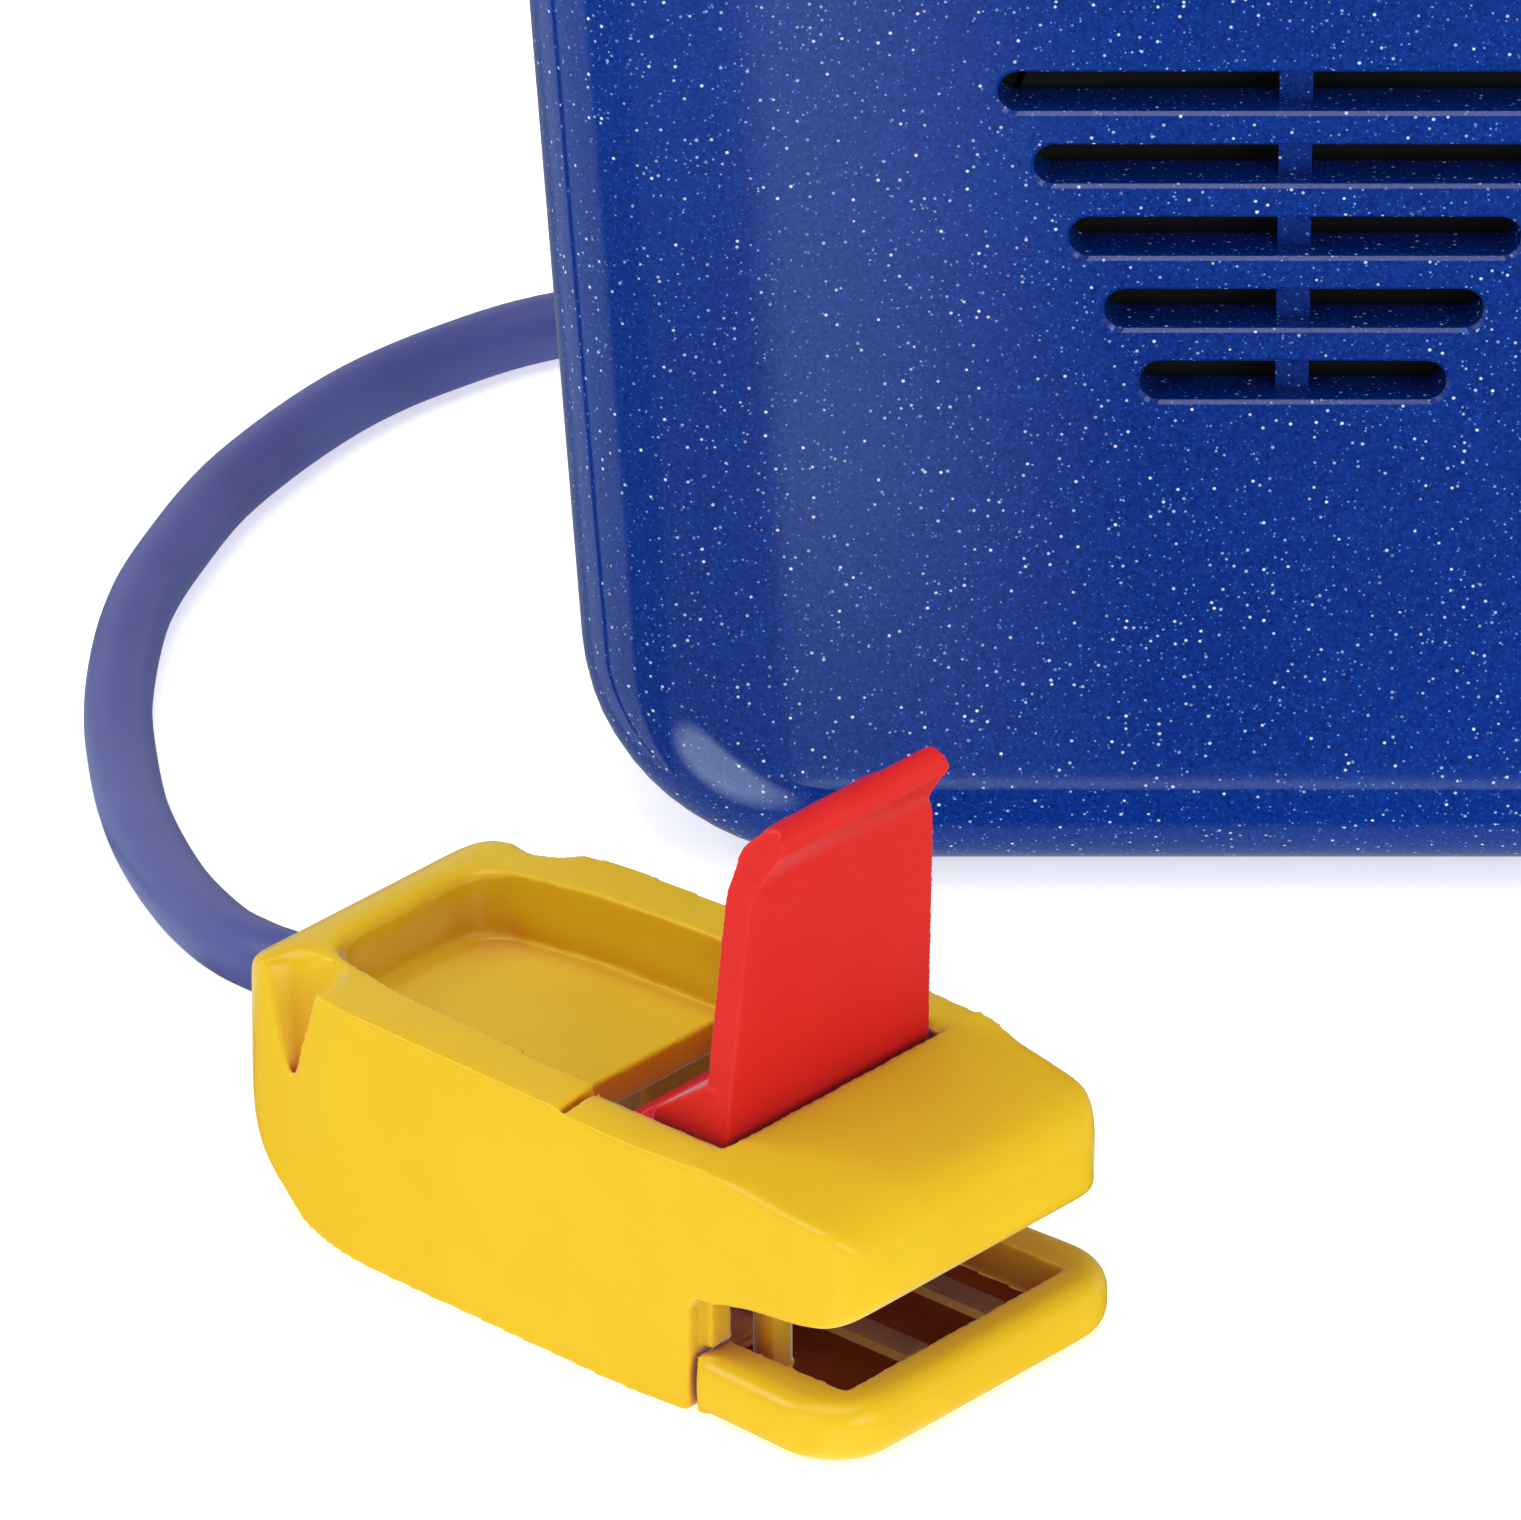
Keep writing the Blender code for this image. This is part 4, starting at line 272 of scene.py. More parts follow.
# Woven nylon strap: 0.5 mm ribs across it, drawn a little coarse so that they show
def makeStrapWeave():
    material, shader = newMaterial("wovenNylon", {"Roughness": 0.8, "Sheen Weight": 0.3})
    place = addNode(material, "ShaderNodeTexCoord").outputs["Object"]
    ribs = [addNode(material, "ShaderNodeTexWave", {"bands_direction": way, "Scale": 314.0, "Distortion": 0.6}, {"Vector": place})
            for way in ('X', 'Z')]
    weave = addNode(material, "ShaderNodeMath", {"operation": 'MULTIPLY'}, {0: ribs[0].outputs["Fac"], 1: ribs[1].outputs["Fac"]})
    tone = addNode(material, "ShaderNodeMix", {"data_type": 'RGBA', 6: hexToLinear("#0D0D0F"), 7: hexToLinear("#2B2B30")},
                   {0: weave.outputs[0]})
    connect(material, tone.outputs[2], shader, "Base Color")
    bump = addNode(material, "ShaderNodeBump", {"Strength": 0.5, "Distance": 0.0001}, {"Height": weave.outputs[0]})
    connect(material, bump.outputs[0], shader, "Normal")
    return material


for finish, maker in (("glitter", makeGlitterBlue), ("lead", makeLeadPvc), ("cellFilm", makeCellFilm), ("board", makeBoardMask),
                      ("paperCone", makePaperCone), ("lampLens", makeLampLens), ("strap", makeStrapWeave)):
    materials[finish] = maker()
for finish in mouldedFinishes:
    materials[finish] = makeMoulded(*mouldedFinishes[finish])
for finish in plainFinishes:
    materials[finish] = makePlain(finish)
print("materials made:", len(materials))


# modelling helpers, sizes in millimetres
def deselect():
    if bpy.context.mode != 'OBJECT':
        bpy.ops.object.mode_set(mode='OBJECT')
    bpy.ops.object.select_all(action='DESELECT')


def makeActive(obj):
    deselect()
    obj.select_set(True)
    bpy.context.view_layer.objects.active = obj


def nameActive(name):
    obj = bpy.context.object
    obj.name = name
    obj.data.name = name
    return obj


def startBox(name, low, high):
    deselect()
    low, high = Vector(low) * mm, Vector(high) * mm
    bpy.ops.mesh.primitive_cube_add(size=1, location=(low + high) / 2, scale=high - low)
    bpy.ops.object.transform_apply(location=True, rotation=False, scale=True)
    return nameActive(name)


def startRod(name, start, end, radius, sides=32):
    deselect()
    start, end = Vector(start) * mm, Vector(end) * mm
    turn = (end - start).to_track_quat('Z', 'Y').to_euler()
    bpy.ops.mesh.primitive_cylinder_add(vertices=sides, radius=radius * mm, depth=(end - start).length,
                                        location=(start + end) / 2, rotation=turn)
    bpy.ops.object.transform_apply(location=True, rotation=True, scale=True)
    return nameActive(name)


def startLine(name, points):
    # one corner of a small plane, pulled along the points
    deselect()
    points = [Vector(p) * mm for p in points]
    bpy.ops.mesh.primitive_plane_add(size=0.001)
    obj = nameActive(name)
    bpy.ops.object.mode_set(mode='EDIT')
    bpy.ops.mesh.select_mode(type='VERT')
    bpy.ops.mesh.select_all(action='SELECT')
    bpy.ops.mesh.merge(type='CENTER')
    bpy.ops.transform.translate(value=points[0])
    for here, ahead in zip(points, points[1:]):
        bpy.ops.mesh.extrude_region_move(TRANSFORM_OT_translate={"value": ahead - here})
    return obj


def startPrism(name, outline, flat, low, high):
    # an outline drawn across one axis and pulled along it
    spread = {'X': lambda a, b: (low, a, b), 'Y': lambda a, b: (a, low, b), 'Z': lambda a, b: (a, b, low)}[flat]
    pull = {'X': (high - low, 0, 0), 'Y': (0, high - low, 0), 'Z': (0, 0, high - low)}[flat]
    obj = startLine(name, [spread(a, b) for a, b in outline])
    bpy.ops.mesh.select_all(action='SELECT')
    bpy.ops.mesh.edge_face_add()
    bpy.ops.mesh.extrude_region_move(TRANSFORM_OT_translate={"value": Vector(pull) * mm})
    tidyMesh(obj)
    return obj


def spinLine(name, profile, place, axis, steps=32):
    # profile of (radius, along) turned round an axis through place
    obj = startLine(name, [(r, 0, along) for r, along in profile])
    bpy.ops.mesh.select_all(action='SELECT')
    bpy.ops.mesh.spin(steps=steps, angle=2 * math.pi, center=(0, 0, 0), axis=(0, 0, 1))
    tidyMesh(obj)
    obj.location = Vector(place) * mm
    obj.rotation_euler = Vector(axis).to_track_quat('Z', 'Y').to_euler()
    bpy.ops.object.transform_apply(location=True, rotation=True, scale=True)
    return obj


def tidyMesh(obj):
    makeActive(obj)
    bpy.ops.object.mode_set(mode='EDIT')
    bpy.ops.mesh.select_all(action='SELECT')
    bpy.ops.mesh.remove_doubles(threshold=0.000002)
    bpy.ops.mesh.normals_make_consistent(inside=False)
    bpy.ops.object.mode_set(mode='OBJECT')


def pick(obj, kind, test):
    # selects by place in millimetres: corners by point, edges by ends and side normals, faces by centre and normal
    if bpy.context.object is not obj or bpy.context.mode != 'EDIT_MESH':
        makeActive(obj)
        bpy.ops.object.mode_set(mode='EDIT')
    bpy.ops.mesh.select_mode(type=kind)
    bpy.ops.mesh.select_all(action='DESELECT')
    bm = bmesh.from_edit_mesh(obj.data)
    if kind == 'VERT':
        for vert in bm.verts:
            vert.select_set(test(vert.co / mm))
    elif kind == 'EDGE':
        for edge in bm.edges:
            edge.select_set(test(edge.verts[0].co / mm, edge.verts[1].co / mm, [f.normal for f in edge.link_faces]))
    else:
        for face in bm.faces:
            face.select_set(test(face.calc_center_median() / mm, face.normal))
    bm.select_flush_mode()
    bmesh.update_edit_mesh(obj.data)


def bevelPicked(width, segments):
    bpy.ops.mesh.bevel(offset=width * mm, segments=segments, profile=0.5, affect='EDGES', clamp_overlap=False)


def shift(x, y, z):
    bpy.ops.transform.translate(value=Vector((x, y, z)) * mm)


def modify(obj, kind, **settings):
    makeActive(obj)
    modifier = obj.modifiers.new(kind.lower(), kind)
    for key, value in settings.items():
        setattr(modifier, key, value)
    bpy.ops.object.modifier_apply(modifier=modifier.name)


def carve(obj, *cutters, way='DIFFERENCE'):
    for cutter in cutters:
        modify(obj, 'BOOLEAN', operation=way, object=cutter, solver='EXACT')
        bpy.data.objects.remove(cutter, do_unlink=True)


def weld(obj, *others):
    carve(obj, *others, way='UNION')


def copyOf(obj, name):
    makeActive(obj)
    bpy.ops.object.duplicate()
    return nameActive(name)


def smoothShade(obj, angle=32):
    makeActive(obj)
    bpy.ops.object.shade_smooth_by_angle(angle=math.radians(angle))
    modify(obj, 'WEIGHTED_NORMAL', keep_sharp=True, weight=80)


def turnMesh(obj, matrix):
    makeActive(obj)
    obj.matrix_world = matrix
    bpy.ops.object.transform_apply(location=True, rotation=True, scale=True)


def mouldedRound(obj, voxel, rounds):
    # melts every edge a little, as a mould's own radii do; turned askew so that no edge runs along the voxels
    askew = Matrix.Rotation(0.5, 4, 'X') @ Matrix.Rotation(0.6, 4, 'Y') @ Matrix.Rotation(0.7, 4, 'Z')
    turnMesh(obj, askew)
    modify(obj, 'REMESH', mode='VOXEL', voxel_size=voxel * mm)
    turnMesh(obj, askew.inverted())
    modify(obj, 'SMOOTH', factor=0.5, iterations=rounds)


def lighten(obj, limit):
    # thins a dense mesh to a number of triangles
    count = sum(len(face.vertices) - 2 for face in obj.data.polygons)
    if count > limit:
        modify(obj, 'DECIMATE', ratio=limit / count)
    obj.data.validate()
    makeActive(obj)
    bpy.ops.object.shade_smooth()
    print(obj.name, "had", count, "triangles")


def rounded(corners, steps=6):
    outline = []
    for index, (x, y, radius) in enumerate(corners):
        here = Vector((x, y))
        back = (Vector(corners[index - 1][:2]) - here).normalized()
        ahead = (Vector(corners[(index + 1) % len(corners)][:2]) - here).normalized()
        if radius <= 0:
            outline.append((x, y))
            continue
        half = back.angle(ahead) / 2
        centre = here + (back + ahead).normalized() * radius / math.sin(half)
        first = here + back * radius / math.tan(half) - centre
        last = here + ahead * radius / math.tan(half) - centre
        sweep = first.angle_signed(last)
        for step in range(steps + 1):
            outline.append(tuple(centre + Matrix.Rotation(-sweep * step / steps, 2) @ first))
    return outline


def oblong(middle, length, height, radius, steps=6):
    x, y = middle
    a, b = length / 2, height / 2
    return rounded(((x - a, y - b, radius), (x + a, y - b, radius), (x + a, y + b, radius), (x - a, y + b, radius)), steps)


def finishPiece(obj, finish, body, slot, *replaced):
    if finish:
        obj.data.materials.clear()
        obj.data.materials.append(materials[finish])
    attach(obj, body)
    if replaced:
        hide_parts(*replaced)
    print("made", obj.name)


# lead from the clip to the plug, its stored length coiled behind the case
leadSettings = {
    "diameter": 2.8, "length": 0.851, "gap": 0.3,
    "clipPlace": (-36.7, -30.0), "clipYaw": -41.6, "boreHeight": 5.8, "insert": 2.2,
    "coilMiddle": (2.1875, 58.0), "coilOuter": 18.0, "coilPitch": 3.25, "coilLow": 2.2,
    "across": 2, "layers": 4, "turns": 7.75, "perTurn": 48,
    "plugEnd": (-15.0, 29.0, 9.5), "sag": 1.0,
    "route": ((-40.2, -26.7, 5.6), (-41.8, -23.8, 5.0), (-43.7, -17.9, 3.8), (-45.4, -10.3, 2.6), (-46.3, -3.4, 1.8),
              (-46.7, 3.1, 1.5), (-46.2, 10.7, 1.4), (-44.7, 16.8, 1.4), (-42.4, 23.0, 1.4), (-38.2, 30.0, 1.4),
              (-33.8, 34.5, 1.4), (-29.0, 37.6, 1.4), (-21.0, 39.8, 1.5), (-11.0, 40.2, 1.8)),
}
clipTurn = (Matrix.Translation((*(Vector(leadSettings["clipPlace"]) * mm), 0))
            @ Matrix.Rotation(math.radians(leadSettings["clipYaw"]), 4, 'Z'))


def clipPoint(x, y, z):
    return clipTurn @ (Vector((x, y, z)) * mm) / mm


def coilPoint(turn):
    s = leadSettings
    beat = turn % (2 * s["across"])
    radius = s["coilOuter"] - s["coilPitch"] * min(beat, 2 * s["across"] - beat)
    level = 0
    for layer in range(1, s["layers"]):
        climb = min(max((turn - layer * s["across"]) * 2 + 0.5, 0), 1)
        level += climb * climb * (3 - 2 * climb)
    angle = 2 * math.pi * turn - math.pi / 2
    x, y = s["coilMiddle"]
    return Vector((x + radius * math.cos(angle), y + radius * math.sin(angle), s["coilLow"] + s["coilPitch"] * level))


def smoothLine(points, steps):
    points = [Vector(p) for p in points]
    line = []
    for i in range(len(points) - 1):
        a, b, c, d = points[max(i - 1, 0)], points[i], points[i + 1], points[min(i + 2, len(points) - 1)]
        for step in range(steps):
            t = step / steps
            line.append(0.5 * (2 * b + (c - a) * t + (2 * a - 5 * b + 4 * c - d) * t ** 2
                               + (3 * b - a - 3 * c + d) * t ** 3))
    line.append(points[-1])
    return line


def makeLead():
    s = leadSettings
    straight = s["diameter"]
    coil = [coilPoint(0) - Vector((straight, 0, 0))]
    steps = round(s["turns"] * s["perTurn"])
    coil += [coilPoint(s["turns"] * step / steps) for step in range(steps + 1)]
    coil.append(coilPoint(s["turns"]) - Vector((0, straight, 0)))
    bore = [clipPoint(x, 0, s["boreHeight"]) for x in (s["insert"], 0, -straight)]
    coilEnd = coil[0] - Vector((s["gap"], 0, 0))
    run = smoothLine(bore + [Vector(p) for p in s["route"]] + [coilEnd - Vector((straight, 0, 0)), coilEnd], 6)
    top = coil[-1] - Vector((0, s["gap"], 0))
    plug = Vector(s["plugEnd"])
    middle = (top + plug) / 2 - Vector((0, 0, s["sag"]))
    tail = smoothLine([top, top - Vector((0, straight, 0)), middle, plug + Vector((0, straight, 0)), plug], 6)
    points = run + coil + tail
    data = bpy.data.curves.new("sensorLead", 'CURVE')
    data.dimensions = '3D'
    data.bevel_depth = s["diameter"] / 2 * mm
    data.bevel_resolution = 8
    data.use_fill_caps = True
    spline = data.splines.new('POLY')
    spline.points.add(len(points) - 1)
    for point, place in zip(spline.points, points):
        point.co = (*(place * mm), 1)
    spline.use_smooth = True
    lead = bpy.data.objects.new("sensorLead", data)
    bpy.context.scene.collection.objects.link(lead)
    data.materials.append(materials["lead"])
    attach(lead, "case")
    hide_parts("lead_run", "lead_coil", "lead_tail")
    print("made", lead.name)
    return lead, points[0] * mm


# sounder case: two covers cut from one drafted block
caseSettings = {
    "baseHalf": 27.54, "height": 66.0, "flare": 3.95, "front": -11.6, "back": 11.6, "seam": 1.0, "seamGap": 0.3,
    "draft": 0.5, "baseCorner": 10.0, "topCorner": 9.0, "faceRound": 5.0, "backRound": 3.0,
    "faceWall": 2.2, "backWall": 2.4,
    "slots": 5, "slotPitch": 3.12, "slotHeight": 1.7, "slotShortest": 12.0, "slotStep": 2.8, "slotMiddle": 29.2,
    "slotLip": 0.14, "rib": 1.3, "ring": (13.8, 14.9, 3.0), "boss": 2.3, "posts": ((8.0, 8.5), (13.0, 50.9)), "postRadius": 1.8,
    "button": (9.0, 3.4), "lampX": 11.5, "lampRadius": 1.5, "controlY": -5.8,
    "screws": ((-17.0, 59.3), (17.0, 59.3), (-22.0, 19.5), (22.0, 19.5)), "sink": 1.6, "headRadius": 1.7,
    "door": (48.5, 24.4, 1.3), "doorLow": 31.8, "window": (46.1, 22.0),
    "mode": (14.0, 25.0), "socket": (-15.0, 9.5), "garment": (0.0, 26.5),
}


def makeCaseBlank():
    s = caseSettings
    lean = math.radians(s["flare"])
    topHalf = s["baseHalf"] + s["height"] * math.tan(lean)
    blank = startBox("caseBlank", (-s["baseHalf"], s["front"], 0), (s["baseHalf"], s["back"], s["height"]))
    pick(blank, 'VERT', lambda p: p.z > 1)
    bpy.ops.transform.resize(value=(topHalf / s["baseHalf"], 1, 1), center_override=(0, 0, 0))
    bpy.ops.mesh.select_all(action='SELECT')
    bpy.ops.mesh.bisect(plane_co=(0, s["seam"] * mm, 0), plane_no=(0, 1, 0))
    for side in (-1, 1):
        pick(blank, 'VERT', lambda p: abs(p.y - s["seam"]) > 1 and p.x * side > 0)
        shift(-side * s["draft"] / math.cos(lean), 0, 0)
    pick(blank, 'VERT', lambda p: abs(p.y - s["seam"]) > 1 and p.z > 30)
    shift(0, 0, -s["draft"])
    # corner edges run along the depth, a bevel's width is its radius over the half angle's tangent
    pick(blank, 'EDGE', lambda a, b, n: abs(a.y - b.y) > 5 and max(a.z, b.z) < 1)
    bevelPicked(s["baseCorner"] / math.tan(math.pi / 4 + lean / 2), 14)
    pick(blank, 'EDGE', lambda a, b, n: abs(a.y - b.y) > 5 and min(a.z, b.z) > s["height"] - 1)
    bevelPicked(s["topCorner"] / math.tan(math.pi / 4 - lean / 2), 14)
    pick(blank, 'EDGE', lambda a, b, n: max(a.y, b.y) < s["front"] + 0.01)
    bevelPicked(s["faceRound"], 10)
    pick(blank, 'EDGE', lambda a, b, n: min(a.y, b.y) > s["back"] - 0.01)
    bevelPicked(s["backRound"], 6)
    tidyMesh(blank)
    return blank


def hollowCover(blank, name, keepFront, wall):
    s = caseSettings
    cover = copyOf(blank, name)
    bpy.ops.object.mode_set(mode='EDIT')
    bpy.ops.mesh.select_all(action='SELECT')
    away = -0.5 if keepFront else 0.5
    bpy.ops.mesh.bisect(plane_co=(0, (s["seam"] + away * s["seamGap"]) * mm, 0), plane_no=(0, 1, 0),
                        clear_outer=keepFront, clear_inner=not keepFront)
    bpy.ops.object.mode_set(mode='OBJECT')
    modify(cover, 'SOLIDIFY', thickness=wall * mm, offset=-1, use_even_offset=True)
    return cover


def makeSlotCutter(middle, length):
    # straight through the wall, then flared at the face for a soft lip
    s = caseSettings
    lip, height = s["slotLip"], s["slotHeight"]
    start = s["front"] + lip
    cutter = startPrism("slotCutter", oblong(middle, length, height, height * 0.48, 10), 'Y', start, s["front"] + s["faceWall"] + 0.4)
    pick(cutter, 'FACE', lambda c, n: n.y < -0.9)
    bpy.ops.mesh.extrude_region_move(TRANSFORM_OT_translate={"value": (0, -lip * 1.5 * mm, 0)})
    grow = 3 * lip
    bpy.ops.transform.resize(value=((length + grow) / length, 1, (height + grow) / height),
                             center_override=Vector((middle[0], 0, middle[1])) * mm)
    tidyMesh(cutter)
    return cutter


def makeCaseFront(blank):
    s = caseSettings
    front = hollowCover(blank, "caseFront", True, s["faceWall"])
    inside = s["front"] + s["faceWall"]
    root, edge = inside - 0.8, s["seam"] - s["seamGap"] / 2
    inner, outer, depth = s["ring"]
    ring = startRod("sounderRing", (0, root, s["slotMiddle"]), (0, inside + depth, s["slotMiddle"]), outer, 64)
    carve(ring, startRod("sounderSeat", (0, root - 1, s["slotMiddle"]), (0, inside + depth + 1, s["slotMiddle"]), inner, 64))
    weld(front, ring)
    for x, z in s["screws"]:
        boss = startRod("screwBoss", (x, root, z), (x, edge, z), s["boss"])
        carve(boss, startRod("bossHole", (x, -4.0, z), (x, edge + 1, z), 1.1))
        weld(front, boss)
    for x, z in s["posts"]:
        for side in (-1, 1):
            weld(front, startRod("boardPost", (side * x, root, z), (side * x, -4.2, z), s["postRadius"]))
    for row in range(s["slots"]):
        middle = (0, s["slotMiddle"] + (row - (s["slots"] - 1) / 2) * s["slotPitch"])
        carve(front, makeSlotCutter(middle, s["slotShortest"] + row * s["slotStep"]))
    hole = oblong((0, s["controlY"]), s["button"][0] + 0.6, s["button"][1] + 0.6, s["button"][1] * 0.45 + 0.3)
    carve(front, startPrism("buttonHole", hole, 'Z', s["height"] - 4, s["height"] + 1))
    carve(front, startRod("lampHole", (s["lampX"], s["controlY"], s["height"] - 4),
                          (s["lampX"], s["controlY"], s["height"] + 1), s["lampRadius"] + 0.3))
    half = s["slots"] * s["slotPitch"] / 2
    weld(front, startBox("slotRib", (-s["rib"] / 2, inside - 1.0, s["slotMiddle"] - half),
                         (s["rib"] / 2, inside, s["slotMiddle"] + half)))
    smoothShade(front)
    finishPiece(front, "glitter", "case", "blue_glitter_abs", "case_front")


def makeCaseBack(blank):
    s = caseSettings
    back = hollowCover(blank, "caseBack", False, s["backWall"])
    outer, inside = s["back"], s["back"] - s["backWall"]
    length, height, thick = s["door"]
    middle = (0, s["doorLow"] + height / 2)
    carve(back, startPrism("doorRecess", oblong((0, middle[1] - 0.15), length + 0.6, height + 0.9, 1.5), 'Y',
                           outer - thick - 0.3, outer + 1))
    carve(back, startBox("doorSwing", (-length / 2 - 0.3, outer - thick - 0.3, s["doorLow"] - 0.6),
                         (length / 2 + 0.3, outer + 1, s["doorLow"] + 1.5)))
    carve(back, startPrism("doorWindow", oblong(middle, *s["window"], 1.5), 'Y', inside - 1, outer + 1))
    reach = length / 2 + 1.1
    carve(back, startRod("hingeSeat", (-reach, outer - 0.8, s["doorLow"] + 0.5), (reach, outer - 0.8, s["doorLow"] + 0.5), 0.6, 20))
    for x, z in s["screws"]:
        weld(back, startRod("screwBoss", (x, s["seam"] + s["seamGap"] / 2, z), (x, inside + 0.8, z), s["boss"]))
        carve(back, startRod("screwSink", (x, outer - s["sink"], z), (x, outer + 1, z), s["headRadius"] + 0.3),
              startRod("screwHole", (x, s["seam"] - 1, z), (x, outer + 1, z), 1.1))
    x, z = s["mode"]
    carve(back, startPrism("modeRecess", oblong((x, z), 7.0, 3.6, 0.75), 'Y', outer - 1.1, outer + 1),
          startBox("modeSlot", (x - 2.7, inside - 1, z - 1.2), (x + 2.7, outer + 1, z + 1.2)))
    x, z = s["socket"]
    carve(back, startRod("socketHole", (x, inside - 1, z), (x, outer + 1, z), 3.5))
    x, z = s["garment"]
    carve(back, startRod("garmentHole", (x, inside - 1, z), (x, outer + 1, z), 1.1))
    smoothShade(back)
    finishPiece(back, "glitter", "case", "blue_glitter_abs", "case_back")


# sensor clip, modelled in its own frame: x to the nose, y to its left, z up
clipSettings = {
    "length": 32.5, "crown": 10.95, "crownFall": 0.0035, "rear": -0.2, "rearHalf": 6.3, "rearDip": 0.4,
    "shoulder": (7.0, 8.0), "wide": (21.5, 8.4),
    "noseHalf": 7.85, "noseCorner": 2.5, "noseLow": (4.95, 5.6), "slope": ((18.0, 0.0), (25.2, 0.28), (32.5, 1.4)),
    "wallFront": 24.95, "noseRear": 25.05,
    "recessFloor": 7.75, "pitRear": 14.5, "leverGap": 6.1, "cheekRear": 18.5,
    "cheek": ((5.9, 10.15), (6.12, 10.45), (6.5, 10.63), (7.1, 10.68), (7.7, 10.64), (8.1, 10.58), (8.5, 10.52), (9.5, 10.45)),
    "slit": (18.3, 0.26, 10.2, 5.0, 8.15), "notch": (3.7, (6.75, 8.4), 0.05, 2.3, 5.5, 12.0), "pivot": (22.7, 8.2),
    "voxel": 0.11, "rounds": 9, "melt": ((26.2, 160), (4.2, 160)), "triangles": 160000,
}


def bothSides(corners, steps=6):
    left = [(x, -y, radius) for x, y, radius in reversed(corners)]
    return rounded(list(corners) + left, steps)


def makeClipHousing():
    s = clipSettings
    plan = bothSides(((s["rear"], -s["rearHalf"], 2.6), (s["shoulder"][0], -s["shoulder"][1], 10.0),
                      (s["wide"][0], -s["wide"][1], 30.0), (s["length"], -s["noseHalf"], s["noseCorner"])), 8)
    housing = startPrism("clipHousing", plan, 'Z', -0.5, s["crown"] + 1)
    (level, _), (nose, dip), (tip, drop) = s["slope"]
    side = rounded(((s["rear"] - 0.3, 0.4, 6.3), (9.0, 0, 8.0), (s["wallFront"], 0, 0.4), (s["wallFront"], s["noseLow"][0], 0.6),
                    (tip, s["noseLow"][1], 1.5), (tip, s["crown"] - drop, 2.2), (nose, s["crown"] - dip, 12.0), (level, s["crown"], 12.0),
                    (s["rear"], s["crown"] - s["rearDip"], 2.4)), 12)
    carve(housing, startPrism("clipSide", side, 'Y', -12, 12), way='INTERSECT')
    # the top is crowned across its width
    arch = [(y, s["crown"] - s["crownFall"] * y * y) for y in range(-10, 11)]
    carve(housing, startPrism("clipCrown", [(-10, -2)] + arch + [(10, -2)], 'X', -2, s["length"] + 2), way='INTERSECT')
    cavity = bothSides(((9.8, -6.2, 0.3), (21.5, -6.6, 0), (26.0, -6.6, 0)))
    carve(housing, startPrism("clipCavity", cavity, 'Z', -2, 6.3))
    recess = bothSides(((3.0, -4.5, 2.0), (8.0, -5.45, 3.0), (s["cheekRear"] + 0.3, -5.97, 0)))
    carve(housing, startPrism("leverRecess", recess, 'Z', s["recessFloor"], 13))
    carve(housing, startBox("leverPit", (s["pitRear"], -5.92, 5.8), (s["noseRear"], 5.92, 13)))
    carve(housing, startBox("hubRoom", (s["cheekRear"], -s["leverGap"], 5.8), (s["noseRear"], s["leverGap"], 13)))
    carve(housing, startBox("footRoom", (24.5, -5.9, 4.3), (30.2, 5.9, 7.0)))
    notchX, notchY, thin, broad, low, high = s["notch"]
    for way in (-1, 1):
        # cheek rounded to a bar beside the lever, parted from the rim by a slit
        outline = [(way * y, z) for y, z in ((s["cheek"][0][0], 13),) + s["cheek"] + ((s["cheek"][-1][0], 13),)]
        carve(housing, startPrism("cheekCutter", outline, 'X', s["cheekRear"], s["noseRear"]))
        x, wide, deep, turn, reach = s["slit"]
        slit = startBox("cheekSlit", (x - wide / 2, 5.4, deep), (x + wide / 2, reach, 13))
        pick(slit, 'VERT', lambda p: p.y > 7)
        shift((reach - 5.4) * math.tan(math.radians(turn)), 0, 0)
        if way < 0:
            bpy.ops.mesh.select_all(action='SELECT')
            bpy.ops.transform.resize(value=(1, -1, 1), center_override=(0, 0, 0))
        tidyMesh(slit)
        carve(housing, slit)
        # flute that parts the side wall from the rear block
        deselect()
        bpy.ops.mesh.primitive_cone_add(vertices=40, radius1=thin * mm, radius2=broad * mm, depth=(high - low) * mm,
                                        location=Vector((notchX, way * notchY[way > 0], (low + high) / 2)) * mm)
        bpy.ops.object.transform_apply(location=True, rotation=False, scale=False)
        carve(housing, nameActive("rearNotch"))
        # inner step of the side wall, behind the jaw
        inner, outer = sorted((way * 6.3, way * 7.5))
        weld(housing, startBox("wallStep", (24.2, inner, 2.6), (25.45, outer, 6.3)))
    carve(housing, startRod("leadBore", (-2, 0, 5.8), (2.6, 0, 5.8), 1.7))
    reach = s["leverGap"] + 1.1
    x, z = s["pivot"]
    carve(housing, startRod("pinSeat", (x, -reach, z), (x, reach, z), 0.9))
    mouldedRound(housing, s["voxel"], s["rounds"])
    # the nose and the rear block are worn rounder than the rest
    (front, more), (rear, some) = s["melt"]
    for name, depth, repeats in (("nose", lambda p: p.x - front if p.z > 4 else -9, more), ("block", lambda p: rear - p.x, some)):
        group = housing.vertex_groups.new(name=name)
        depths = [depth(v.co / mm) for v in housing.data.vertices]
        for band in range(5):                # fades in over 1.5 mm
            inside = [index for index, deep in enumerate(depths) if deep > 0.3 * band]
            group.add(inside, 0.2 * (band + 1), 'REPLACE')
        modify(housing, 'SMOOTH', factor=0.5, iterations=repeats, vertex_group=name)
    lighten(housing, s["triangles"])
    turnMesh(housing, clipTurn)
    finishPiece(housing, "yellow", "case", "yellow_abs", "clip_housing")


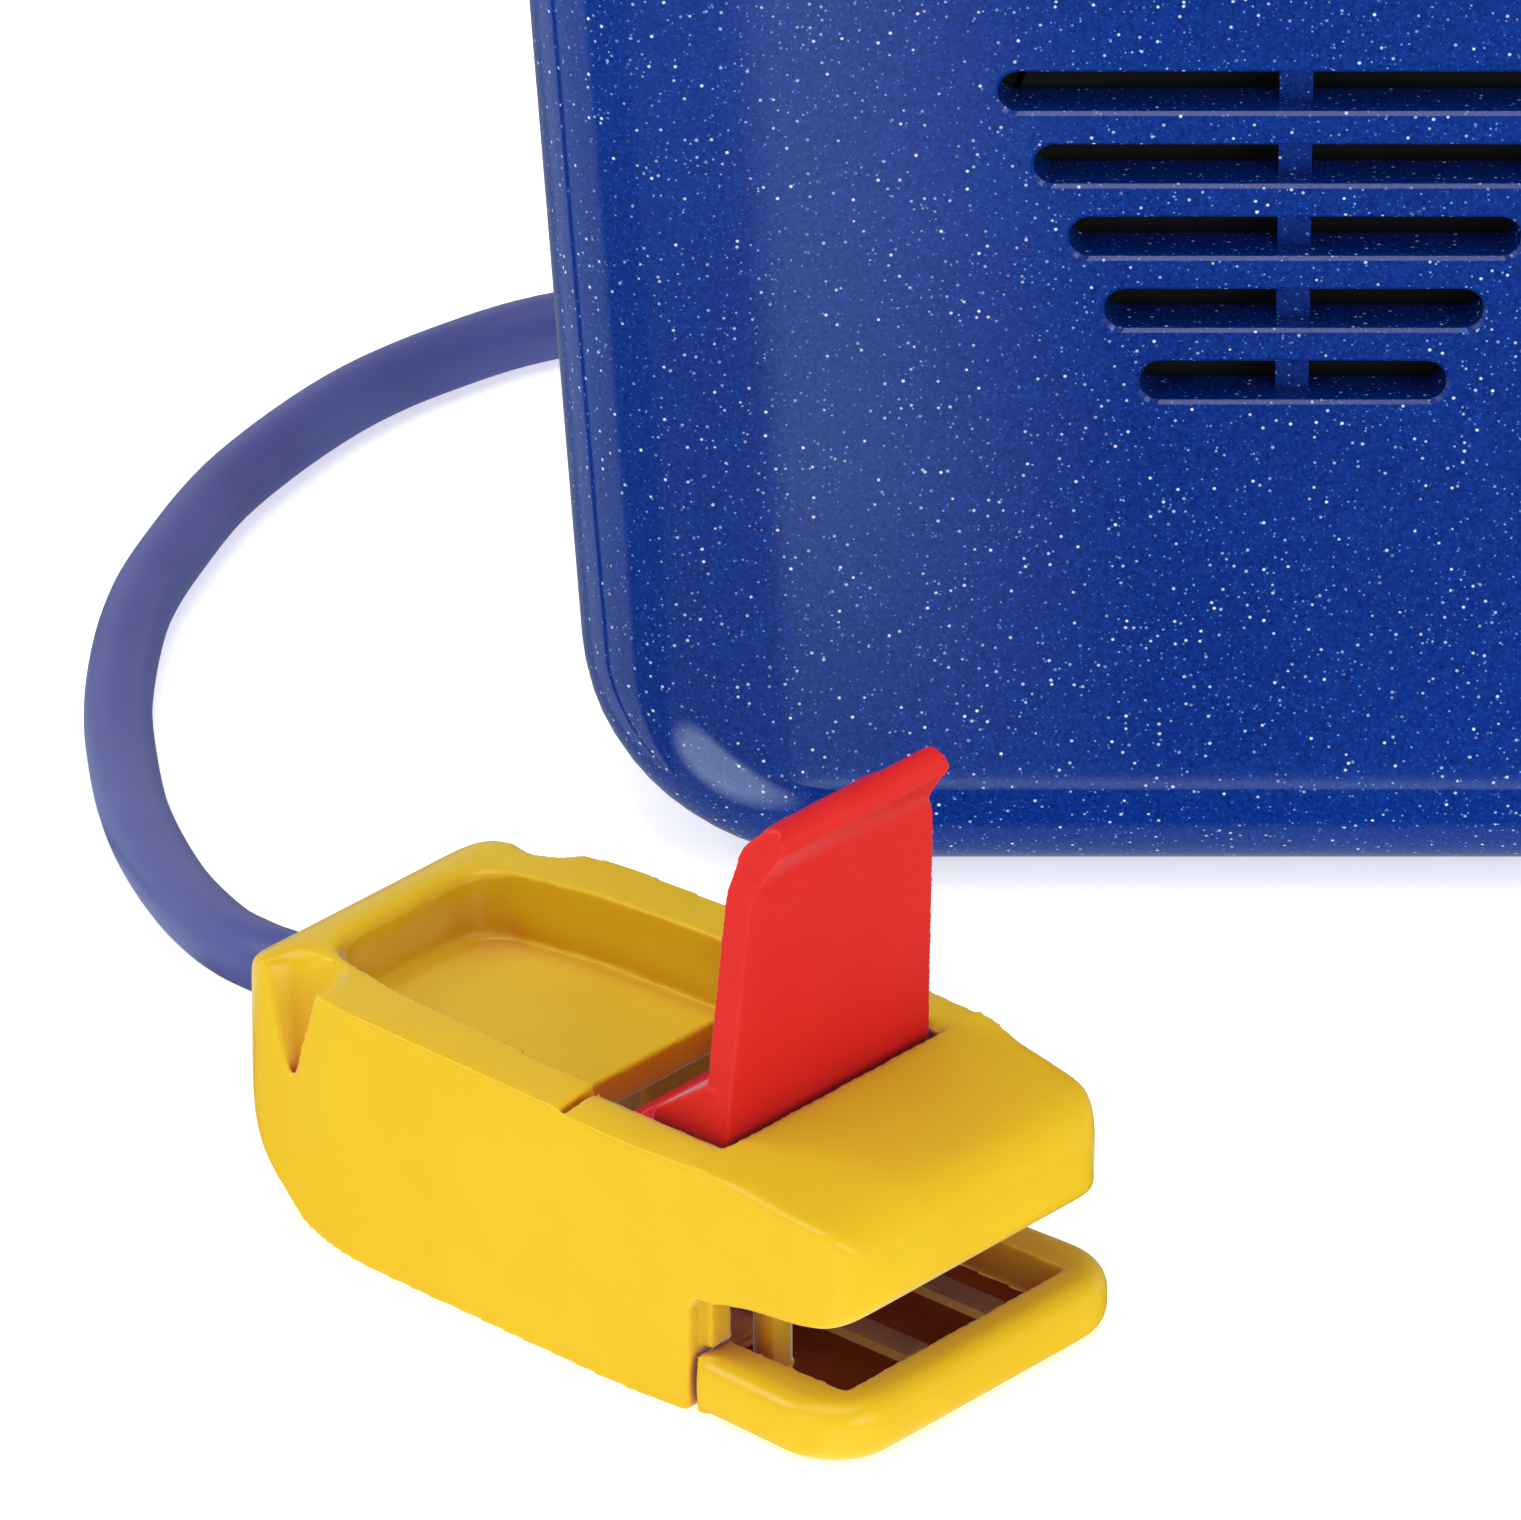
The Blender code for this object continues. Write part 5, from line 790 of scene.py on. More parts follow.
jawSettings = {"rear": 25.15, "front": 32.9, "half": (8.3, 8.65), "top": 2.5, "corner": 2.9, "edge": 0.95,
               "arm": 2.2, "bar": 1.8, "floor": 0.8, "post": (25.7, 4.3, 0.75), "triangles": 90000}


def makeClipBase():
    s = jawSettings
    plan = bothSides(((s["rear"], -s["half"][0], 0.5), (s["front"], -s["half"][1], s["corner"])), 10)
    base = startPrism("clipBase", plan, 'Z', 0, s["top"])
    pick(base, 'EDGE', lambda a, b, n: abs(a.z - b.z) < 0.01 and max(a.x, b.x) > s["rear"] + 0.1)
    bevelPicked(s["edge"], 6)
    tidyMesh(base)
    weld(base, startBox("basePlate", (10.1, -5.9, 0.3), (26.5, 5.9, 1.2)))
    inner = s["half"][0] - s["arm"]
    pocket = startBox("jawPocket", (24.0, -inner, s["floor"]), (s["front"] - s["bar"], inner, s["top"] + 1))
    pick(pocket, 'VERT', lambda p: p.z > s["top"])
    bpy.ops.transform.resize(value=(1, (inner + 0.3) / inner, 1), center_override=(0, 0, 0))
    tidyMesh(pocket)
    carve(base, pocket)
    x, y, half = s["post"]
    for way in (-1, 1):
        weld(base, startRod("guidePost", (x, way * y, 0.5), (x, way * y, 6.1), half, 24))
    mouldedRound(base, 0.11, 7)
    lighten(base, s["triangles"])
    # painted shade: a dark brown inlay on the floor of the jaw, where the pocket lies in shade under the presser foot
    base.data.materials.append(materials["yellow"])
    base.data.materials.append(materials["jawShadeInlay"])
    pick(base, 'FACE', lambda c, n: n.z > 0.75 and c.z < s["floor"] + 0.5 and c.x > 24.2)
    base.active_material_index = 1
    bpy.ops.object.material_slot_assign()
    bpy.ops.object.mode_set(mode='OBJECT')
    turnMesh(base, clipTurn)
    finishPiece(base, None, "case", "yellow_abs", "clip_base")


leverSettings = {"lean": 3.8, "hub": 1.5, "half": 5.8, "rise": 1.0856, "fold": 95.0,
                 "web": ((-1.7, 0, 0), (1.5, 0, 0), (1.5, 4.3, 0), (0.85, 4.3, 0), (-1.7, 2.45, 0.3)),
                 "sheet": ((0.6, 0), (1.85, 0), (1.85, 14.6), (0.6, 14.6)), "trim": ((-5.95, -0.5, 0), (-5.1, 14.55, 2.7)),
                 "lip": ((0.62, 11, 0), (1.83, 11, 0), (1.83, 13.1, 3.4), (2.98, 15.05, 0.5), (2.25, 15.9, 0.5), (0.62, 14.2, 2.2)),
                 "lipTrim": ((-4.75, 10, 0), (-4.75, 16.1, 1.2)), "voxel": 0.085, "rounds": 9, "triangles": 110000}


def makeLever():
    s = leverSettings
    outline = []
    for step in range(17):
        fold = math.radians(s["fold"]) * step / 16
        facing = -math.pi / 2 - fold
        reach = s["hub"] + s["rise"] * fold
        outline.append((reach * math.cos(facing) + s["rise"] * math.sin(facing),
                        reach * math.sin(facing) - s["rise"] * math.cos(facing)))
    for step in range(17):
        angle = math.radians(100 - 190 * step / 16)
        outline.append((s["hub"] * math.cos(angle), s["hub"] * math.sin(angle)))
    lever = startPrism("camLever", outline[:-1], 'Y', -s["half"], s["half"])
    # tapered plate, and a narrower finger lip bent forward from its top
    for name, profile, edge in (("leverPlate", s["sheet"], s["trim"]), ("leverLip", rounded(s["lip"], 8), s["lipTrim"])):
        sheet = startPrism(name, profile, 'Y', -8, 8)
        trim = rounded([(-y, z, radius) for y, z, radius in edge] + list(reversed(edge)), 8)
        carve(sheet, startPrism(name + "Trim", trim, 'X', -5, 9), way='INTERSECT')
        makeActive(sheet)
        sheet.rotation_euler = (0, math.radians(s["lean"]), 0)
        bpy.ops.object.transform_apply(location=False, rotation=True, scale=False)
        weld(lever, sheet)
    weld(lever, startPrism("leverWeb", rounded(s["web"], 6), 'Y', -s["half"], s["half"]))
    carve(lever, startRod("leverBore", (0, -9, 0), (0, 9, 0), 0.9))
    x, z = clipSettings["pivot"]
    makeActive(lever)
    lever.location = Vector((x, 0, z)) * mm
    bpy.ops.object.transform_apply(location=True, rotation=False, scale=False)
    mouldedRound(lever, s["voxel"], s["rounds"])
    lighten(lever, s["triangles"])
    turnMesh(lever, clipTurn)
    finishPiece(lever, "red", "lever", "red_abs", "cam_lever")


# battery door on two hinge stubs, with a nail notch and grip grooves
doorSettings = {"length": 48.5, "height": 24.4, "low": 31.8, "outer": 11.6, "thick": 1.3, "corner": 1.2, "edge": 0.4,
                "axis": (10.8, 32.3), "stub": (0.3, 0.8), "notch": (4.5, 1.6), "grooves": 4, "groovePitch": 1.3, "grooveLength": 13.0}


def makeBatteryDoor():
    s = doorSettings
    outer, top, half = s["outer"], s["low"] + s["height"], s["length"] / 2
    door = startPrism("batteryDoor", oblong((0, s["low"] + s["height"] / 2), s["length"], s["height"], s["corner"]), 'Y',
                      outer - s["thick"], outer)
    pick(door, 'EDGE', lambda a, b, n: min(a.y, b.y) > outer - 0.01)
    bevelPicked(s["edge"], 4)
    tidyMesh(door)
    radius, reach = s["notch"]
    z = top - reach + radius
    carve(door, startRod("nailNotch", (0, outer - s["thick"] / 2, z), (0, outer + 1, z), radius, 80))
    for row in range(s["grooves"]):
        middle = (0, top - 3.4 - row * s["groovePitch"])
        carve(door, startPrism("gripGroove", oblong(middle, s["grooveLength"], 0.55, 0.25), 'Y', outer - 0.3, outer + 1))
    radius, length = s["stub"]
    y, z = s["axis"]
    for side in (-1, 1):
        weld(door, startRod("hingeStub", (side * (half - length), y, z), (side * (half + length), y, z), radius, 24))
    smoothShade(door)
    finishPiece(door, "glitter", "door", "blue_glitter_abs", "battery_door")


# reset button: dished cap, two wings that hold it in, a stem onto its switch
buttonSettings = {"length": 9.0, "width": 3.4, "y": -5.8, "low": 62.6, "top": 66.8, "edge": 0.45, "dish": (20.0, 0.28),
                  "wing": (5.4, 1.4, 63.4), "stem": (0.9, 56.7)}


def makeResetButton():
    s = buttonSettings
    button = startPrism("resetButton", oblong((0, s["y"]), s["length"], s["width"], s["width"] * 0.45, 10), 'Z', s["low"], s["top"])
    pick(button, 'EDGE', lambda a, b, n: min(a.z, b.z) > s["top"] - 0.01)
    bevelPicked(s["edge"], 5)
    tidyMesh(button)
    radius, depth = s["dish"]
    z = s["top"] - depth + radius
    carve(button, startRod("fingerDish", (0, s["y"] - 5, z), (0, s["y"] + 5, z), radius, 256))
    x, y, high = s["wing"]
    weld(button, startBox("buttonWing", (-x, s["y"] - y, s["low"]), (x, s["y"] + y, high)))
    radius, low = s["stem"]
    weld(button, startRod("buttonStem", (0, s["y"], low), (0, s["y"], s["low"] + 0.3), radius))
    smoothShade(button)
    finishPiece(button, "whiteAbs", "button", "white_abs", "reset_button")


# signal lamp: domed epoxy body with its flange and two tinned legs
lampSettings = {"place": (11.5, -5.8, 0.0), "radius": 1.5, "top": 66.7, "low": 61.5, "dome": 0.9, "flange": 0.4, "legs": (0.75, -4.7, 0.5, 53.4)}


def makeSignalLamp():
    s = lampSettings
    radius, top, low = s["radius"], s["top"], s["low"]
    dome = [(radius * math.sin(a), top - s["dome"] * (1 - math.cos(a))) for a in (math.pi / 2 * i / 8 for i in range(9))]
    wide = radius + s["flange"]
    lamp = spinLine("signalLamp", dome + [(radius, low + radius), (wide - 0.1, low + radius), (wide, low + radius - 0.1), (wide, low), (0, low)],
                    s["place"], (0, 0, 1), 40)
    apart, y, thick, end = s["legs"]
    for side in (-1, 1):
        x = s["place"][0] + side * apart
        weld(lamp, startBox("lampLeg", (x - thick / 2, y, end), (x + thick / 2, y + thick, low + 0.7)))
    smoothShade(lamp)
    lamp.data.materials.append(materials["lampLens"])
    lamp.data.materials.append(materials["nickelSteel"])
    pick(lamp, 'FACE', lambda c, n: c.z < low - 0.05)
    lamp.active_material_index = 1
    bpy.ops.object.material_slot_assign()
    bpy.ops.object.mode_set(mode='OBJECT')
    finishPiece(lamp, None, "case", "lamp_lens", "signal_lamp")


# mode slider: a small ribbed cap on a square stem
sliderSettings = {"middle": (14.0, 25.0), "cap": (3.4, 3.0, 0.8), "outer": 11.6, "stem": (1.8, 7.9), "ribs": 3, "ribPitch": 0.8}


def makeModeSlider():
    s = sliderSettings
    x, z = s["middle"]
    length, height, thick = s["cap"]
    slider = startPrism("modeSlider", oblong(s["middle"], length, height, 0.7, 8), 'Y', s["outer"] - thick, s["outer"])
    pick(slider, 'EDGE', lambda a, b, n: min(a.y, b.y) > s["outer"] - 0.01)
    bevelPicked(0.25, 4)
    tidyMesh(slider)
    for row in range(s["ribs"]):
        middle = x + (row - (s["ribs"] - 1) / 2) * s["ribPitch"]
        carve(slider, startBox("ribGroove", (middle - 0.18, s["outer"] - 0.3, z - height), (middle + 0.18, s["outer"] + 1, z + height)))
    half, deep = s["stem"][0] / 2, s["stem"][1]
    weld(slider, startBox("sliderStem", (x - half, deep, z - half), (x + half, s["outer"] - thick / 2, z + half)))
    smoothShade(slider)
    finishPiece(slider, "blackAbs", "slider", "black_abs", "mode_slider")


# pan-head screw modelled once and copied, threads cut as rings too fine to tell from a helix
screwSettings = {"profile": ((0, 1.2), (0.7, 1.17), (1.15, 1.04), (1.5, 0.78), (1.68, 0.42), (1.7, 0.1), (1.62, 0), (0.8, 0)),
                 "pitch": 0.6, "root": 0.6, "crest": 0.8, "length": 14.0, "cross": (1.0, 0.28, 0.5),
                 "copies": (("caseScrew1", "case_screw_1", (-17.0, 10.3, 59.3), 14.0), ("caseScrew2", "case_screw_2", (17.0, 10.3, 59.3), 14.0),
                            ("caseScrew3", "case_screw_3", (-22.0, 10.3, 19.5), 14.0), ("caseScrew4", "case_screw_4", (22.0, 10.3, 19.5), 14.0),
                            ("garmentScrew", "garment_screw", (0.0, 13.0, 26.5), 5.0),
                            ("boardScrew1", "board_screw_1", (-8.0, -2.0, 8.5), 4.0), ("boardScrew2", "board_screw_2", (8.0, -2.0, 8.5), 4.0))}


def makeScrews():
    s = screwSettings
    profile = list(s["profile"])
    depth = 0.8
    while depth < s["length"] - 1.2:
        profile += [(s["root"], -depth), (s["crest"], -depth - s["pitch"] / 2)]
        depth += s["pitch"]
    screw = spinLine("screw", profile + [(s["root"], -depth), (0, -s["length"])], (0, 0, 0), (0, 1, 0), 28)
    reach, half, sunk = s["cross"]
    high = s["profile"][0][1]
    for x, z in ((reach, half), (half, reach)):
        slot = startBox("crossSlot", (-x, high - sunk, -z), (x, high + 1, z))
        pick(slot, 'VERT', lambda p: p.y < high)
        bpy.ops.transform.resize(value=(0.75, 1, 0.75), center_override=(0, 0, 0))
        tidyMesh(slot)
        carve(screw, slot)
    for name, node, place, length in s["copies"]:
        copy = copyOf(screw, name)
        if length < s["length"]:
            bpy.ops.object.mode_set(mode='EDIT')
            bpy.ops.mesh.select_all(action='SELECT')
            bpy.ops.mesh.bisect(plane_co=(0, -length * mm, 0), plane_no=(0, 1, 0), use_fill=True, clear_inner=True)
            bpy.ops.object.mode_set(mode='OBJECT')
        copy.location = Vector(place) * mm
        bpy.ops.object.transform_apply(location=True, rotation=False, scale=False)
        smoothShade(copy)
        finishPiece(copy, "nickelSteel", "case", "steel", node)
    bpy.data.objects.remove(screw, do_unlink=True)


# garment clip: a spring strip folded over, pressed rib down its outer leg, flared tip
garmentSettings = {"width": 12.0, "sheet": 0.8, "back": 11.6, "gap": 0.3, "foot": 22.3, "top": 30.5, "reach": 3.6, "nip": (1.0, 8.5),
                   "tip": (2.2, 5.0), "holeHeight": 26.5, "screwHole": 1.1, "driverHole": 2.4, "corner": 2.6, "rib": (2.6, 10.5, 0.35)}


def makeGarmentClip():
    s = garmentSettings
    half, sheet, bend = s["width"] / 2, s["sheet"] / 2, s["reach"] / 2
    inner = s["back"] + s["gap"] + sheet
    middle = s["top"] - bend - sheet
    line = [(inner, s["foot"])]
    line += [(inner + bend - bend * math.cos(a), middle + bend * math.sin(a)) for a in (math.pi * i / 20 for i in range(21))]
    nip = (s["back"] + s["nip"][0] + sheet, s["nip"][1])
    line += [nip, (nip[0] + s["tip"][0], s["tip"][1])]
    clip = startLine("garmentClip", [(-half, y, z) for y, z in line])
    bpy.ops.mesh.select_all(action='SELECT')
    bpy.ops.mesh.extrude_region_move(TRANSFORM_OT_translate={"value": (s["width"] * mm, 0, 0)})
    tidyMesh(clip)
    modify(clip, 'SOLIDIFY', thickness=s["sheet"] * mm, offset=0, use_even_offset=True)
    pick(clip, 'EDGE', lambda a, b, n: abs(a.x - b.x) > 5 and abs(a.z - s["nip"][1]) < 0.6)
    bevelPicked(0.9, 5)
    tidyMesh(clip)
    corners = rounded(((-half, 4.7, s["corner"]), (half, 4.7, s["corner"]), (half, 32, 0), (-half, 32, 0)), 8)
    carve(clip, startPrism("clipOutline", corners, 'Y', 11, 18), way='INTERSECT')
    z = s["holeHeight"]
    carve(clip, startRod("screwHole", (0, s["back"], z), (0, inner + bend, z), s["screwHole"], 40),
          startRod("driverHole", (0, inner + bend, z), (0, inner + 2 * s["reach"], z), s["driverHole"], 56))
    wide, length, proud = s["rib"]
    rib = startPrism("pressedRib", oblong((0, 0), wide, length, wide * 0.48, 10), 'Y', 0, sheet + proud)
    pick(rib, 'EDGE', lambda a, b, n: min(a.y, b.y) > sheet)
    bevelPicked(proud, 4)
    tidyMesh(rib)
    far = inner + s["reach"]
    rib.rotation_euler = (-math.atan2(far - nip[0], middle - nip[1]), 0, 0)
    rib.location = Vector((0, nip[0] + (far - nip[0]) * 0.42, nip[1] + (middle - nip[1]) * 0.42)) * mm
    bpy.ops.object.transform_apply(location=True, rotation=True, scale=False)
    weld(clip, rib)
    modify(clip, 'BEVEL', width=0.12 * mm, segments=2, limit_method='ANGLE', angle_limit=math.radians(50))
    smoothShade(clip)
    finishPiece(clip, "springSteel", "case", "steel", "garment_clip")


# plug with grip rings and a plated pin, ribbed boot behind it
plugSettings = {"place": (-15.0, 11.9, 9.5), "radius": 3.7, "length": 8.5, "round": 0.8, "pin": (1.65, 8.5), "rings": 4, "ringDepth": 0.25,
                "bootPlace": (-15.0, 20.7, 9.5), "bootLength": 8.0, "boot": (3.1, 1.9), "ribs": 4, "groove": 0.5}


def makePlug():
    s = plugSettings
    radius, length, edge = s["radius"], s["length"], s["round"]
    arc = [math.pi / 2 * i / 6 for i in range(7)]
    profile = [(0, length)] + [(radius - edge + edge * math.sin(a), length - edge + edge * math.cos(a)) for a in arc]
    for ring in range(s["rings"]):
        top = length - 2.0 - ring * 1.2
        profile += [(radius, top), (radius - s["ringDepth"], top - 0.15), (radius - s["ringDepth"], top - 0.45), (radius, top - 0.6)]
    profile += [(radius - edge + edge * math.cos(a), edge - edge * math.sin(a)) for a in arc]
    pin, reach = s["pin"]
    profile += [(pin, 0), (pin, -reach + 2.6), (pin - 0.35, -reach + 2.2), (pin - 0.35, -reach + 1.9), (pin, -reach + 1.4), (0.5, -reach + 0.1), (0, -reach)]
    plug = spinLine("leadPlug", profile, s["place"], (0, 1, 0), 56)
    smoothShade(plug)
    plug.data.materials.append(materials["lead"])
    plug.data.materials.append(materials["nickelSteel"])
    pick(plug, 'FACE', lambda c, n: c.y < s["place"][1] - 0.01)
    plug.active_material_index = 1
    bpy.ops.object.material_slot_assign()
    bpy.ops.object.mode_set(mode='OBJECT')
    finishPiece(plug, None, "case", "lead_pvc", "lead_plug")
    return plug


def makePlugBoot():
    s = plugSettings
    wide, narrow = s["boot"]
    pitch = s["bootLength"] / s["ribs"]
    profile = [(0, s["bootLength"])]
    for rib in range(s["ribs"]):
        share = rib / (s["ribs"] - 1)
        radius = narrow + (wide - narrow) * share
        top = s["bootLength"] - rib * pitch
        profile += [(radius - 0.25, top), (radius, top - 0.25), (radius, top - 0.95), (radius - 0.2, top - 1.2)]
        if rib < s["ribs"] - 1:
            profile += [(radius - s["groove"], top - 1.25), (radius - s["groove"], top - pitch + 0.02)]
    boot = spinLine("plugBoot", profile + [(wide - 0.2, 0.2), (wide - 0.4, 0), (0, 0)], s["bootPlace"], (0, 1, 0), 48)
    smoothShade(boot)
    finishPiece(boot, "lead", "case", "lead_pvc", "plug_boot")
    return boot


# strap round the coil, its end laid over itself
tieSettings = {"x": 2.1875, "width": 6.0, "middle": (72.555, 7.075), "outside": (8.05, 14.15), "band": 0.5, "round": 1.7, "lap": (3.0, 11.0, 0.25)}


def makeCoilTie():
    s = tieSettings
    low, high = s["x"] - s["width"] / 2, s["x"] + s["width"] / 2
    length, height = s["outside"]
    tie = startPrism("coilTie", oblong(s["middle"], length, height, s["round"], 10), 'X', low, high)
    carve(tie, startPrism("tieHollow", oblong(s["middle"], length - 2 * s["band"], height - 2 * s["band"], s["round"] - s["band"], 10),
                          'X', low - 1, high + 1))
    start, end, thick = s["lap"]
    y = s["middle"][0] + length / 2
    weld(tie, startBox("strapEnd", (low + 0.3, y - 0.1, start), (high - 0.3, y + thick, end)))
    modify(tie, 'BEVEL', width=0.12 * mm, segments=2, limit_method='ANGLE', angle_limit=math.radians(50))
    smoothShade(tie)
    finishPiece(tie, "strap", "case", "black_abs", "coil_tie")
    return tie


# two dry cells, the second turned end for end above the first
cellSettings = {"foot": (-20.65, 4.8, 38.6), "rise": 10.8,
                "profile": ((0, 44.5), (1.5, 44.5), (1.85, 44.3), (1.9, 44.0), (1.9, 43.5), (4.2, 43.4), (4.4, 43.6), (4.85, 43.6), (5.1, 43.45),
                            (5.2, 43.1), (5.2, 0.4), (5.1, 0.12), (4.85, 0), (4.3, 0), (4.1, 0.2), (0, 0.2))}


def makeCells():
    s = cellSettings
    cell = spinLine("cellA", s["profile"], s["foot"], (1, 0, 0), 64)
    smoothShade(cell, 40)
    cell.data.materials.append(materials["cellFilm"])
    cell.data.materials.append(materials["nickelSteel"])
    start = s["foot"][0]
    pick(cell, 'FACE', lambda c, n: (c.x > start + 43.3 or c.x < start + 0.3) and abs(n.x) > 0.3 and
         math.hypot(c.y - s["foot"][1], c.z - s["foot"][2]) < 4.6 or c.x > start + 43.7)
    cell.active_material_index = 1
    bpy.ops.object.material_slot_assign()
    bpy.ops.object.mode_set(mode='OBJECT')
    other = copyOf(cell, "cellB")
    x, y, z = s["foot"]
    other.matrix_world = (Matrix.Translation(Vector((0, y, z + s["rise"])) * mm) @ Matrix.Rotation(math.pi, 4, 'Z')
                          @ Matrix.Translation(-Vector((0, y, z)) * mm))
    bpy.ops.object.transform_apply(location=True, rotation=True, scale=False)
    finishPiece(cell, None, "case", "cell_wrap", "battery_a")
    finishPiece(other, None, "case", "cell_wrap", "battery_b")


# solids that stay as they are, with the finish of what they are made of
keptFinishes = {
    "blackAbs": ("battery_tray", "lead_socket", "reset_switch"), "epoxyBlack": ("alarm_chip",), "red": ("presser_foot",),
    "bronze": ("contact_strip_left", "contact_strip_right"), "brass": ("motor_weight",), "ferrite": ("sounder_magnet",),
    "springSteel": ("cell_spring_a", "cell_spring_b", "foot_spring_left", "foot_spring_right"), "board": ("circuit_board",),
    "nickelSteel": ("cell_plate_a", "cell_plate_b", "lever_pin", "mode_switch", "vibration_motor"),
    "blackLacquer": ("sounder_frame",), "paperCone": ("sounder_cone",),
}


def finishKept():
    for finish, names in keptFinishes.items():
        for name in names:
            for slot in nodes[name].material_slots:
                slot.material = materials[finish]
    print("finished", sum(len(names) for names in keptFinishes.values()), "kept solids")


stageSettings = {"floorHalf": 3.0, "floorColour": "#F8F8F8", "floorGlow": 0.6, "skyLow": 0.7, "skyHigh": 0.32, "below": 0.06,
                 "card": (-260.0, 160.0, -260.0, 200.0, -4.0), "veilEdge": -19.0, "veilSlope": 0.0248, "veilFade": 17.0,
                 "veil": (1.25, 0.08), "veilLow": (-55.0, -30.0, 0.4),
                 "strip": (-28.5, -27.95, 4.0), "dark": (-27.7, -14.6, 0.35), "spot": (-26.7, -19.4, 7.0, 3.3), "corner": (-29.0, -9.0),
                 "turns": ((0.0, 0.28), (0.13, 0.28), (0.17, 0.1), (0.36, 0.1), (0.40, 0.75), (0.585, 0.75), (0.592, 0.0), (0.625, 0.0),
                           (0.632, 0.7), (0.74, 0.6), (0.80, 0.25))}


def makeFloor():
    s = stageSettings
    deselect()
    bpy.ops.mesh.primitive_plane_add(size=2 * s["floorHalf"], location=(0, 0, 0))
    floor = nameActive("paleFloor")
    # matt white paper that also glows a little, so shadows stay faint
    material, shader = newMaterial("whitePaper", {"Roughness": 0.9, "Base Color": hexToLinear(s["floorColour"]),
                                                  "Emission Color": (1, 1, 1, 1), "Emission Strength": s["floorGlow"],
                                                  "Specular IOR Level": 0.0})
    floor.data.materials.append(material)
    floor.visible_glossy = False        # gloss sees the reflector card below it instead
    floor.visible_shadow = False        # and it does not count as a hollow


def makeReflector():
    # seen in gloss alone: a white sheet in front of the face, dark close to it, grey and white strips round the left corner
    s = stageSettings
    left, right, front, back, low = s["card"]
    card = startBox("reflectorCard", (left, front, low), (right, back, low + 0.5))
    material, shader = newMaterial("cardPaper", {"Base Color": (0, 0, 0, 1), "Roughness": 1.0, "Emission Color": (0.8, 0.95, 1, 1)})
    place = addNode(material, "ShaderNodeTexCoord").outputs["Object"]
    parts = addNode(material, "ShaderNodeSeparateXYZ", None, {0: place})
    across = addNode(material, "ShaderNodeMath", {"operation": 'MULTIPLY_ADD', 1: -s["veilSlope"]}, {0: parts.outputs[1], 2: parts.outputs[0]})
    edge = s["veilEdge"] * mm
    inVeil = addNode(material, "ShaderNodeMapRange", {1: edge, 2: edge + 0.0004, 3: 0.0, 4: 1.0}, {0: across.outputs[0]})
    veil = addNode(material, "ShaderNodeMapRange", {1: edge, 2: edge + s["veilFade"] * mm, 3: s["veil"][0], 4: s["veil"][1],
                                                    "interpolation_type": 'SMOOTHSTEP'}, {0: across.outputs[0]})
    (stripStart, stripEnd, bright), (darkStart, darkEnd, under) = s["strip"], s["dark"]
    strip = addNode(material, "ShaderNodeMapRange", {1: stripStart * mm, 2: stripEnd * mm, 3: 0.0, 4: bright}, {0: parts.outputs[1]})
    shadow = addNode(material, "ShaderNodeMapRange", {1: stripEnd * mm, 2: darkStart * mm, 3: 1.0, 4: 0.0}, {0: parts.outputs[1]})
    start, end, least = s["veilLow"]
    faint = addNode(material, "ShaderNodeMapRange", {1: start * mm, 2: end * mm, 3: 1.0, 4: least}, {0: parts.outputs[1]})
    haze = addNode(material, "ShaderNodeMath", {"operation": 'MULTIPLY'}, {0: veil.outputs[0], 1: faint.outputs[0]})
    lit = addNode(material, "ShaderNodeMath", {"operation": 'ADD'}, {0: strip.outputs[0], 1: haze.outputs[0]})
    sheet = addNode(material, "ShaderNodeMath", {"operation": 'MULTIPLY'}, {0: lit.outputs[0], 1: shadow.outputs[0]})
    foot = addNode(material, "ShaderNodeMapRange", {1: darkEnd * mm, 2: (darkEnd + 2) * mm, 3: 0.0, 4: under}, {0: parts.outputs[1]})
    face = addNode(material, "ShaderNodeMath", {"operation": 'ADD'}, {0: sheet.outputs[0], 1: foot.outputs[0]})
    x, y = s["corner"]
    sideways = addNode(material, "ShaderNodeMath", {"operation": 'SUBTRACT', 0: x * mm}, {1: parts.outputs[0]})
    forward = addNode(material, "ShaderNodeMath", {"operation": 'SUBTRACT', 0: y * mm}, {1: parts.outputs[1]})
    angle = addNode(material, "ShaderNodeMath", {"operation": 'ARCTAN2'}, {0: sideways.outputs[0], 1: forward.outputs[0]})
    turn = addNode(material, "ShaderNodeMath", {"operation": 'DIVIDE', 1: math.pi}, {0: angle.outputs[0]})
    ramp = addNode(material, "ShaderNodeValToRGB", None, {0: turn.outputs[0]})
    stops = ramp.color_ramp.elements
    while len(stops) < len(s["turns"]):
        stops.new(0.5)
    for stop, (along, value) in zip(stops, s["turns"]):
        stop.position, stop.color = along, (value, value, value, 1)
    both = addNode(material, "ShaderNodeMix", {"data_type": 'FLOAT'}, {0: inVeil.outputs[0], 2: ramp.outputs[0], 3: face.outputs[0]})
    x, y, radius, bright = s["spot"]
    away = addNode(material, "ShaderNodeVectorMath", {"operation": 'DISTANCE', 1: Vector((x, y, low + 0.5)) * mm}, {0: place})
    spot = addNode(material, "ShaderNodeMapRange", {1: radius * 0.6 * mm, 2: radius * mm, 3: bright, 4: 0.0}, {0: away.outputs["Value"]})
    total = addNode(material, "ShaderNodeMath", {"operation": 'ADD'}, {0: both.outputs[0], 1: spot.outputs[0]})
    connect(material, total.outputs[0], shader, "Emission Strength")
    card.data.materials.append(material)
    for hidden in ("visible_camera", "visible_diffuse", "visible_transmission", "visible_volume_scatter", "visible_shadow"):
        setattr(card, hidden, False)


